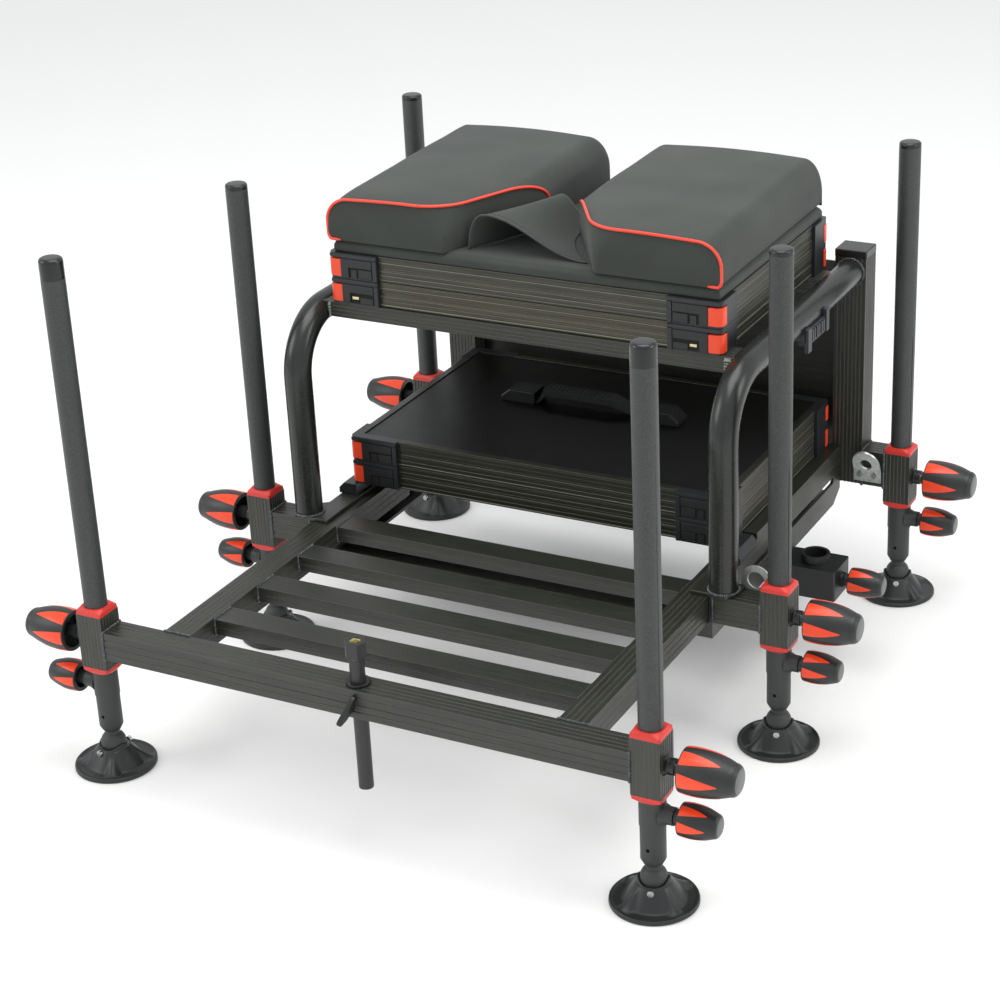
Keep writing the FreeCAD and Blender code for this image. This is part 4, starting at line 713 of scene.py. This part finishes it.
def rectangle(x0, x1, z0, z1):
    """Corners of an upright rectangle."""
    return [(x0, z0), (x1, z0), (x1, z1), (x0, z1)]


STOP_LOW = 2.4
RECESS = rectangle(184.1, 214.4, 1.6, 13.8)
TOP_LEDGE = rectangle(177.8, 238.0, 25.0, 29.2)
INNER_LEDGE = rectangle(177.6, 183.2, 0.4, 24.6)
PIN = rectangle(203.5, 212.0, 6.4, 9.8)
TONGUE = rectangle(204.2, 211.6, 1.8, 11.6)
BAR_OUTLINE = [(183.9, 23.6), (224.4, 23.6), (224.4, 1.8), (214.5, 1.8), (214.5, 13.9), (183.9, 13.9)]


def taller(faces):
    """The red end of a catch, stretched to its full height."""
    low = min(p[2] for loop in faces for p in loop)
    foot = low - CAD_RED_LOW / 1000
    times = (RED_HIGH - RED_LOW) / (CAD_RED_HIGH - CAD_RED_LOW)
    return [[(p[0], p[1], foot + RED_LOW / 1000 + (p[2] - low) * times) for p in loop] for loop in faces]


for side, way in (("right", 1), ("left", -1)):
    for group, trays, ends in (("tray_catches_", ("lower_tray", "upper_tray"), (0, 1)),
                               ("lid_catches_", ("lid_tray",), (0,)),
                               ("seat_catches_", ("seat_tray",), (0, 1))):
        reds = [taller(faces) for faces in solids(group + side)[0::2]]
        piece(group + side + "_ends", group + side, reds, [catch_red], 0.8)
        bars = [on_face(tray, way, end, BAR_OUTLINE, 1.5) for tray in trays for end in ends]
        stand_for(drawn_out(bars), group + side + "_bars", group + side, [wing_black], 0.5)
for tray in TRAY_FEET:
    seats, recess_shades, ledges, pins = [], [], [], []
    stop = rectangle(184.4, 201.6, STOP_LOW, 9.5 if tray == "upper_tray" else 12.6)
    for way in (1, -1):
        for end in (0, 1):
            seats.append(on_face(tray, way, end, stop, 1.3))
            recess_shades.append(on_face(tray, way, end, RECESS, 0.12))
            ledges.append(on_face(tray, way, end, TOP_LEDGE, 1.1))
            ledges.append(on_face(tray, way, end, INNER_LEDGE, 1.6))
            if tray == "upper_tray":
                pins.append(on_face(tray, way, end, PIN, 1.2))
            else:
                seats.append(on_face(tray, way, end, TONGUE, 0.9))
    stand_for(drawn_out(seats), tray + "_catch_stops", tray, [wing_black], 0.35)
    # The recess sheets are painted shade, not a part of the moulding.
    stand_for(drawn_out(recess_shades), tray + "_catch_recess_shades", tray, [recess_shade], 0)
    stand_for(drawn_out(ledges), tray + "_corner_ledges", tray, [grained_black], 0.5)
    if pins:
        stand_for(drawn_out(pins), tray + "_brass_pins", tray, [brass], 0.9)


# Legs: 25 mm aluminium tube in a fine-speckled dark grey powder coat, a matt moulded sleeve at the lower end
# and a glossy push-in cap. The webbed foot is glossy black nylon, and the knobs are soft dark grey rubber.
leg_grey, leg_nodes, leg_shader = bare_material("speckled_dark_grey_powder_coat", Specular_IOR_Level=0.5)
leg_at = add(leg_nodes, "ShaderNodeTexCoord")
leg_speck = add(leg_nodes, "ShaderNodeTexNoise", Vector=(leg_at, "Object"), Scale=850.0, Detail=2.0,
                Roughness=0.7)
leg_fleck = add(leg_nodes, "ShaderNodeMapRange", Value=(leg_speck, "Fac"), From_Min=0.42, From_Max=0.68)
leg_tone = mixed(leg_nodes, (leg_fleck, "Result"), linear("2d302f"), linear("424645"))
leg_bump = add(leg_nodes, "ShaderNodeBump", Height=(leg_speck, "Fac"), Strength=0.35, Distance=0.0002)
feed(leg_nodes, leg_shader, {"Base Color": (leg_tone, 2), "Normal": (leg_bump, "Normal"), "Roughness": 0.46})
sleeve_grey = moulded("matt_grey_nylon_sleeve", "323534", 0.52, 1.0, 0.05)
cap_black = moulded("gloss_black_cap", "18191a", 0.25, 1.4, 0.02)
foot_black = moulded("gloss_black_nylon_foot", "1d2020", 0.42, 1.8, 0.06)
knob_grey = moulded("soft_touch_dark_grey_rubber", "222524", 0.42, 1.0, 0.06)
knob_end_grey = moulded("grey_knob_end_disc", "565a57", 0.38, 1.0, 0.04)


FOOT_R = 45.0
SOCKET_R = 14.4
BALL_HEIGHT = 28.0
COLLAR_R = 17.0
COLLAR_FOOT = 23.5
COLLAR_TOP = 24.0
EAR_RISE = 5.6
WEB_START, WEB_RUN = 15, 29
WEB_LOW, WEB_RISE = 4.6, 20.5
WEB_NARROW, WEB_WIDE = 0.20, 0.018
FACE_TOP, FACE_SLOPE, FACE_BEND = 27.0, 1.32, 0.0016
LIP_START, LIP_RUN, LIP_RISE = 40.5, 2.5, 1.3
FOOT_FLOOR = 3.9
BLEND = 0.9
RIM_DROOP = {45.0: 1.6, 44.6: 0.5}


def foot_height(r, turn):
    """Height in mm of the foot's top at a radius and at an angle from the nearest web: a flat floor with a
    raised lip, a steep face under the collar, and a web that runs out to the lip and widens as it goes."""
    share = min(1.0, max(0.0, (r - WEB_START) / WEB_RUN))
    aside = r * math.sin(abs(turn))
    narrow = WEB_NARROW * (1 - share) + WEB_WIDE * share
    web = WEB_LOW + WEB_RISE * (1 - share) ** 1.3 - narrow * aside ** 2
    face = FACE_TOP - (r - WEB_START) * FACE_SLOPE - FACE_BEND * aside ** 2
    lip = min(1.0, max(0.0, (r - LIP_START) / LIP_RUN))
    floor = FOOT_FLOOR + LIP_RISE * lip * lip * (3 - 2 * lip)
    return BLEND * math.log(math.exp(web / BLEND) + math.exp(face / BLEND) + math.exp(floor / BLEND))


def foot_disc(x, y, first_web):
    """A bmesh of a foot about its ball's axis: base, rim, webbed top, collar and socket."""
    bm = bmesh.new()
    sides = 120
    quarter = math.pi / 2
    rows = [[(43.8, 0.0)] * sides, [(FOOT_R, 1.0)] * sides]
    for r in [FOOT_R, 44.6, 44.0, 43.2] + [42.0 - 0.75 * i for i in range(34)]:
        row = []
        for i in range(sides):
            turn = (2 * math.pi * i / sides - first_web + math.pi / 4) % quarter - math.pi / 4
            height = foot_height(min(r, 44.0), turn) - RIM_DROOP.get(r, 0.0)
            row.append((r, min(COLLAR_FOOT, height)))
        rows.append(row)
    ears = [EAR_RISE * math.sin(2 * math.pi * i / sides - first_web + math.pi / 4) ** 4
            for i in range(sides)]
    rows += [[(r, z + ear) for ear in ears]
             for r, z in ((COLLAR_R - 0.3, 23.4), (COLLAR_R - 1.0, COLLAR_TOP), (15.0, COLLAR_TOP))]
    rows += [[(r, BALL_HEIGHT - math.sqrt(SOCKET_R ** 2 - r ** 2))] * sides
             for r in (13.9, 13.0, 11.0, 8.0, 4.0)]
    made = []
    for row in rows:
        made.append([bm.verts.new(((x + r * math.cos(2 * math.pi * i / sides)) / 1000,
                                   (y + r * math.sin(2 * math.pi * i / sides)) / 1000, z / 1000))
                     for i, (r, z) in enumerate(row)])
    join_rings(bm, made)
    bm.faces.new(made[0])
    bm.faces.new(made[-1])
    bmesh.ops.recalc_face_normals(bm, faces=bm.faces)
    return bm


END_DISC_DEPTH = 0.0016


def knob_pieces(node):
    """Barrel with its end disc, steel-cored stud and six coloured inserts of one knob."""
    parts = solids(node)
    barrel = piece(node + "_barrel", node, parts[0:1], [knob_grey, knob_end_grey], 0)
    tip = max(abs(v.co.x) for v in barrel.data.vertices)
    for face in barrel.data.polygons:
        if abs(face.center.x) > tip - END_DISC_DEPTH and abs(face.normal.x) > 0.9:
            face.material_index = 1
    piece(node + "_stud", node, parts[1:2], [steel], 0.3)
    piece(node + "_inserts", node, parts[2:8], [catch_red], 0)


def middle_mm(points, axis):
    """Middle of some points along one axis, in mm."""
    return 500 * (min(p[axis] for p in points) + max(p[axis] for p in points))


for row in ("front", "middle", "rear"):
    for side in ("right", "left"):
        place = row + "_" + side
        parts = solids("leg_" + place)
        piece("leg_tube_" + place, "leg_" + place, parts[0:1], [leg_grey], 0.3)
        piece("leg_sleeve_" + place, "leg_" + place, parts[1:2], [sleeve_grey], 0.5)
        piece("leg_cap_" + place, "leg_" + place, parts[2:3], [cap_black], 0.6)
        piece("stem_fitting_" + place, "stem_" + place, solids("stem_" + place), [sleeve_grey],
              0)
        parts = solids("foot_" + place)
        disc = [p for loop in parts[0] for p in loop]
        bolt = [p for loop in parts[1] for p in loop]
        middle = [middle_mm(disc, k) for k in (0, 1)]
        to_bolt = [middle_mm(bolt, k) - middle[k] for k in (0, 1)]
        first_web = math.atan2(to_bolt[1], to_bolt[0]) + math.pi / 4
        stand_for(foot_disc(middle[0], middle[1], first_web), "foot_disc_" + place, "foot_" + place,
                  [foot_black], 0)
        piece("foot_bolts_" + place, "foot_" + place, parts[1:3], [steel], 0.4)
        knob_pieces("leg_knob_" + place)
        knob_pieces("stem_knob_" + place)
knob_pieces("accessory_clamp_knob")


# Seat board: a plywood board wrapped in the seat cloth, a dark grey knitted cloth laminated on thin foam.
# Its fine ribs, 1 mm apart, are drawn 1.5 mm apart, or they would not show.
CLOTH_PITCH = 0.0015


def seat_cloth(name, code):
    """Matt knitted cloth: small raised stitches in rows, with painted highlight on their tops and painted
    shade between them, a soft sheen and a faint cloudy wear.
    """
    mat, tree, shader = bare_material(name, Roughness=0.85, Sheen_Weight=0.12, Sheen_Roughness=0.5,
                                      Specular_IOR_Level=0.3)
    at = add(tree, "ShaderNodeTexCoord")
    axes = add(tree, "ShaderNodeSeparateXYZ", Vector=(at, "Object"))
    rows = maths(tree, "ADD", (axes, "X"), (axes, "Z"))
    lines = maths(tree, "ADD", (axes, "Y"), (axes, "Z"))
    wave_a = maths(tree, "MULTIPLY", (rows, 0), 2 * math.pi / CLOTH_PITCH)
    wave_b = maths(tree, "MULTIPLY", (lines, 0), 2 * math.pi / CLOTH_PITCH)
    sine_a = maths(tree, "SINE", (wave_a, 0))
    sine_b = maths(tree, "SINE", (wave_b, 0))
    stitch = maths(tree, "MULTIPLY", (sine_a, 0), (sine_b, 0))
    fuzz = add(tree, "ShaderNodeTexNoise", Vector=(at, "Object"), Scale=1400.0, Detail=2.0)
    cloud = add(tree, "ShaderNodeTexNoise", Vector=(at, "Object"), Scale=14.0, Detail=3.0)
    height = maths(tree, "ADD", (stitch, 0), (fuzz, "Fac"))
    # Colour follows the stitch height: painted highlight on the raised stitches and painted shade between
    # them; the fine fuzz adds random tone.
    stitch_light_and_shade = add(tree, "ShaderNodeMapRange", Value=(height, 0), From_Min=-1.0, From_Max=2.0, To_Min=0.0,
              To_Max=1.0)
    low = mixed(tree, (stitch_light_and_shade, "Result"), shade(code, 0.78), shade(code, 1.25))
    tone = add(tree, "ShaderNodeMix", {"data_type": "RGBA", "blend_type": "SOFT_LIGHT"}, i0=0.35,
               i6=(low, 2), i7=(cloud, "Fac"))
    bump = add(tree, "ShaderNodeBump", Height=(height, 0), Strength=0.35, Distance=0.0002)
    feed(tree, shader, {"Base Color": (tone, 2), "Normal": (bump, "Normal")})
    return mat


cloth = seat_cloth("grey_knitted_seat_cloth", "393d39")
piece("seat_board_cover", "seat_board", solids("seat_board"), [cloth], 2.5)


# Cushions: cut foam blocks covered in the same cloth. A flat strip closes the front and the slanting inner
# corner, and its top seam carries red piping; the sides and the back are rolled over without a seam.
BOARD_TOP = 0.4962
SEAT_FRONT = 0.01675
SEAT_BACK = 0.32075
SIDE_X = 0.2385
INNER_LEFT = 0.0325
INNER_RIGHT = 0.0245
CUSHION_H = 0.0515
OUTER_ROLL = 0.028
INNER_ROLL = 0.024
BACK_ROLL = 0.012
NOSE_X = 0.0920
NOSE_TURN_LEFT = math.radians(67.3)
NOSE_TURN_RIGHT = math.radians(58.0)
NOSE_FOOT_R = 0.006
NOSE_SEAM_R = 0.055
TUCK = 0.009
CROWN = 0.0025
SEAM_SHARE, SEAM_GAIN, SEAM_REACH = 0.94, 0.06, 0.03
BACK_GAIN, BACK_DIP, BACK_REACH = 0.13, 0.03, 0.02
WAVE, GATHER, GATHER_REACH = 0.0010, 0.0007, 0.014
SIDE_BAND, DRAWN_IN, DRAWN_REACH = 0.1, 0.0035, 0.02
FULLER, FULLER_REACH = 0.33, 0.012


def front_line(x, radius=NOSE_SEAM_R):
    """Depth of the front at x, negative to the left: straight, round the nose, then slanting back."""
    turn = NOSE_TURN_RIGHT if x > 0 else NOSE_TURN_LEFT
    past = NOSE_X + radius * math.tan(turn / 2) - abs(x)
    if past <= 0:
        return SEAT_FRONT
    arc_x = radius * math.sin(turn)
    if past <= arc_x:
        return SEAT_FRONT + radius - math.sqrt(radius ** 2 - past ** 2)
    return SEAT_FRONT + radius * (1 - math.cos(turn)) + (past - arc_x) * math.tan(turn)


def cushion_profile(inner):
    """(x, height, normal x, normal z) from the outer foot over the rolls and the crown to the inner foot."""
    out = [(SIDE_X - 0.0150, 0.0, 0.0, -1.0)]
    for i in range(9):
        a = math.pi / 2 * i / 8
        out.append((SIDE_X - TUCK + TUCK * math.sin(a), TUCK - TUCK * math.cos(a), math.sin(a),
                    -math.cos(a)))
    for i in range(1, 5):
        out.append((SIDE_X, TUCK + (CUSHION_H - OUTER_ROLL - TUCK) * i / 5, 1.0, 0.0))
    for i in range(19):
        a = math.pi / 2 * i / 18
        out.append((SIDE_X - OUTER_ROLL + OUTER_ROLL * math.cos(a),
                    CUSHION_H - OUTER_ROLL + OUTER_ROLL * math.sin(a), math.cos(a), math.sin(a)))
    x0, x1 = SIDE_X - OUTER_ROLL, inner + INNER_ROLL
    for i in range(1, 56):
        t = i / 56
        out.append((x0 + (x1 - x0) * t, CUSHION_H + CROWN * math.sin(math.pi * t), 0.0, 1.0))
    for i in range(17):
        a = math.pi / 2 * i / 16
        out.append((x1 - INNER_ROLL * math.sin(a), CUSHION_H - INNER_ROLL + INNER_ROLL * math.cos(a),
                    -math.sin(a), math.cos(a)))
    for i in range(1, 9):
        out.append((inner, (CUSHION_H - INNER_ROLL) * (1 - i / 8), -1.0, 0.0))
    return out


def swell(x, y):
    """Share of the profile's height at a point: held down by the seam and full towards the back."""
    behind = max(0.0, y - front_line(x))
    depth = (y - SEAT_FRONT) / (SEAT_BACK - SEAT_FRONT)
    before = max(0.0, SEAT_BACK - y)
    held = SEAM_SHARE + SEAM_GAIN * (1 - math.exp(-behind / SEAM_REACH)) + BACK_GAIN * depth
    return held * (1 - BACK_DIP * math.exp(-before / BACK_REACH))


def pucker(x, y, z):
    """Small unevenness of the cloth: slow waves everywhere and short gathers close to the piping."""
    behind = max(0.0, y - front_line(x))
    slow = noise.noise(Vector((x * 16, y * 16, z * 16)))
    short = noise.noise(Vector((x * 120, y * 45, z * 60)))
    return WAVE * slow + GATHER * short * math.exp(-behind / GATHER_REACH)


def shouldered(x, y, sign):
    """Distance from the middle once the side is drawn in to the back and the roll fills out."""
    behind = max(0.0, y - front_line(sign * x))
    near_side = max(0.0, 1 - (SIDE_X - x) / SIDE_BAND)
    drawn = DRAWN_IN * (y - SEAT_FRONT) / (SEAT_BACK - SEAT_FRONT)
    fuller = (SIDE_X - x) * FULLER * (1 - math.exp(-behind / FULLER_REACH))
    return x + near_side * (fuller - drawn * (1 - math.exp(-behind / DRAWN_REACH)))


STRIP_ROWS = 14
TOP_ROWS = 84
BACK_ROWS = 8
FOOT_ROWS = 4
STRIP_BULGE = 0.0020
PIPING_OUT = 0.0009
PIPING_FOOT = 0.0012


def cushion(sign):
    """One cushion and the path of its piping; sign is 1 for the right one and -1 for the left one."""
    points, seam = [], []
    profile = cushion_profile(INNER_RIGHT if sign > 0 else INNER_LEFT)
    for x, height, nx, nz in profile:
        y0 = front_line(sign * x)
        slope = (front_line(sign * (x - 0.0004)) - front_line(sign * (x + 0.0004))) / 0.0008
        out = Vector((-slope, -1.0, 0.0)).normalized()
        edge_z = height * swell(sign * x, y0)
        for j in range(STRIP_ROWS):
            t = j / STRIP_ROWS
            foot_y = front_line(sign * x, NOSE_FOOT_R + (NOSE_SEAM_R - NOSE_FOOT_R) * t ** 1.6)
            bulge = STRIP_BULGE * math.sin(math.pi * t) * min(1.0, height / 0.02)
            points.append((sign * (x + out.x * bulge), foot_y + out.y * bulge, BOARD_TOP + edge_z * t))
        drop = min(BACK_ROLL, 0.8 * height)
        back = SEAT_BACK - drop
        for j in range(TOP_ROWS + 1):
            t = (j / TOP_ROWS) ** 1.6
            y = y0 + (back - y0) * t
            lift = pucker(sign * x, y, height) * min(1.0, height / 0.01)
            drawn_in = shouldered(x, y, sign)
            z = height * swell(sign * x, y)
            points.append((sign * (drawn_in + nx * lift), y, BOARD_TOP + max(0.0, z + nz * lift)))
        drawn_in = shouldered(x, back, sign)
        top = height * swell(sign * x, back)
        for j in range(1, BACK_ROWS + 1):
            a = math.pi / 2 * j / BACK_ROWS
            z = max(0.0, top - drop * (1 - math.cos(a)))
            points.append((sign * drawn_in, back + drop * math.sin(a), BOARD_TOP + z))
        for j in range(1, FOOT_ROWS + 1):
            z = max(0.0, (top - drop) * (1 - j / FOOT_ROWS))
            points.append((sign * drawn_in, SEAT_BACK, BOARD_TOP + z))
        rise = (out + Vector((nx, 0.0, nz))).normalized() * PIPING_OUT
        seam.append((sign * (x + rise.x), y0 + rise.y, BOARD_TOP + max(PIPING_FOOT, edge_z + rise.z)))
    rows = STRIP_ROWS + TOP_ROWS + 1 + BACK_ROWS + FOOT_ROWS
    count = len(profile)
    faces = []
    for i in range(count - 1):
        for j in range(rows - 1):
            faces.append((i * rows + j, (i + 1) * rows + j, (i + 1) * rows + j + 1, i * rows + j + 1))
    rim = [i * rows for i in range(count)]
    rim += [(count - 1) * rows + j for j in range(1, rows)]
    rim += [i * rows + rows - 1 for i in range(count - 2, -1, -1)]
    rim += list(range(rows - 2, 0, -1))
    return points, faces, rim, seam


def tube(name, path, radius, sides=12):
    """Round tube along a path of points with closed, domed ends."""
    points, faces = [], []
    line = [Vector(p) for p in path]
    side_way = Vector((0, 1, 0))
    for i, p in enumerate(line):
        way = (line[min(i + 1, len(line) - 1)] - line[max(i - 1, 0)]).normalized()
        across = way.cross(side_way).normalized()
        side_way = across.cross(way).normalized()
        r = radius * (0.55 if i in (0, len(line) - 1) else 1.0)
        for k in range(sides):
            a = 2 * math.pi * k / sides
            points.append(p + across * (r * math.cos(a)) + side_way * (r * math.sin(a)))
    for i in range(len(line) - 1):
        for k in range(sides):
            n = (k + 1) % sides
            faces.append((i * sides + k, i * sides + n, (i + 1) * sides + n, (i + 1) * sides + k))
    faces.append(tuple(range(sides)))
    faces.append(tuple((len(line) - 1) * sides + k for k in range(sides)))
    return grid_object(name, points, faces)


piping_red = moulded("red_orange_vinyl_piping", "ee4630", 0.38, 1.2, 0.03)
PIPING_R = 0.0017
PIPING_END_X = 0.0300
for sign, side in ((1, "right"), (-1, "left")):
    points, faces, rim, seam = cushion(sign)
    bm = bmesh.new()
    corners = [bm.verts.new(p) for p in points]
    for face in faces:
        bm.faces.new([corners[i] for i in face])
    bm.faces.new([corners[i] for i in rim])
    bmesh.ops.remove_doubles(bm, verts=bm.verts, dist=1e-5)
    bmesh.ops.dissolve_degenerate(bm, edges=bm.edges, dist=1e-6)
    bmesh.ops.recalc_face_normals(bm, faces=bm.faces)
    cushion_piece = object_of(bm, "seat_cushion_" + side)
    cushion_piece.data.set_sharp_from_angle(angle=math.radians(50))
    cushion_piece.data.materials.append(cloth)
    shown = [p for p in seam if p[0] < 0 or p[0] > PIPING_END_X]
    piping = tube("seat_piping_" + side, shown, PIPING_R)
    piping.data.materials.append(piping_red)
    for part in (cushion_piece, piping):
        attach(part, "seat")
    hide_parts("seat_cushions")


# Flap: a band of the seat cloth sewn down between the cushions. It humps up, steep on the left and long on
# the right, and its front edge is turned in and overlocked, with a row of stitches behind.
UPPER_FRONT = 0.01425
FLAP_T = 0.0016
FLAP_FRONT, FLAP_MIDDLE, FLAP_BACK = 26.0, 80.0, 150.0
FLAP_LIFT = 1.7
PEAK_SHARE = 0.36
RISE_SHARE = 0.96
FALL_PACE = 1.03
HEM_DEPTH = 33.0


def between(t, values):
    """Smooth value at depth t through three values set at the front, middle and back of the flap."""
    d = (FLAP_FRONT, FLAP_MIDDLE, FLAP_BACK)
    total = 0.0
    for i in range(3):
        share = values[i]
        for j in range(3):
            if j != i:
                share *= (t - d[j]) / (d[i] - d[j])
        total += share
    return total


def flap_point(depth, s):
    """Point of the cloth at a depth in mm behind the tray's front and a share s of the way to the right."""
    left, right = -between(depth, (72.0, 44.0, 30.0)), between(depth, (72.0, 31.5, 21.0))
    peak, rise = between(depth, (-49.0, -31.0, -18.0)), between(depth, (41.5, 38.5, 33.0))
    if s <= PEAK_SHARE:
        a = math.pi / 2 * (s / PEAK_SHARE)
        x, z = peak + (left - peak) * math.cos(a) ** 0.85, rise * math.sin(a)
    else:
        t = (s - PEAK_SHARE) / (1 - PEAK_SHARE)
        x = peak + (right - peak) * t
        z = rise * (0.5 + 0.5 * math.cos(math.pi * min(1.0, FALL_PACE * t)))
    return Vector((x / 1000, UPPER_FRONT + depth / 1000, BOARD_TOP + (FLAP_LIFT + RISE_SHARE * z) / 1000))


FLAP_ROWS = 40
FLAP_ACROSS = 64
points = [flap_point(FLAP_FRONT + (FLAP_BACK - FLAP_FRONT) * i / FLAP_ROWS, j / FLAP_ACROSS)
          for i in range(FLAP_ROWS + 1) for j in range(FLAP_ACROSS + 1)]
row = FLAP_ACROSS + 1
faces = [(i * row + j, i * row + j + 1, (i + 1) * row + j + 1, (i + 1) * row + j)
         for i in range(FLAP_ROWS) for j in range(FLAP_ACROSS)]
flap = grid_object("seat_flap_cloth", points, faces)
if sum(p.normal.z * p.area for p in flap.data.polygons) < 0:
    flap.data.flip_normals()
flap.data.materials.append(cloth)
wall = flap.modifiers.new("cloth_thickness", "SOLIDIFY")
wall.thickness = FLAP_T
wall.offset = -1.0
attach(flap, "seat")
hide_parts("seat_flap")

thread_grey = moulded("dark_grey_polyester_thread", "3f4340", 0.55, 0.6, 0.02)
EDGE_STEPS = 90
STITCH_LIFT = Vector((0, 0, 0.0002))
front_edge = [tuple(flap_point(FLAP_FRONT, j / EDGE_STEPS)) for j in range(EDGE_STEPS + 1)]
stitch_line = [tuple(flap_point(HEM_DEPTH, 0.02 + 0.96 * j / EDGE_STEPS) + STITCH_LIFT)
               for j in range(EDGE_STEPS + 1)]
hem_tree = bead_tree("hem_stitches")
overlock = beads_along("seat_flap_overlock", [front_edge], hem_tree,
                       {"Spacing": 0.0019, "Bead Size": (0.0026, 0.0026, 0.0024), "Unevenness": 0.1,
                        "Seed": 3, "Finish": thread_grey}, "seat")
hem = beads_along("seat_flap_stitches", [stitch_line], hem_tree,
                  {"Spacing": 0.0042, "Bead Size": (0.0009, 0.0009, 0.0030), "Unevenness": 0.08, "Seed": 5,
                   "Finish": thread_grey}, "seat")
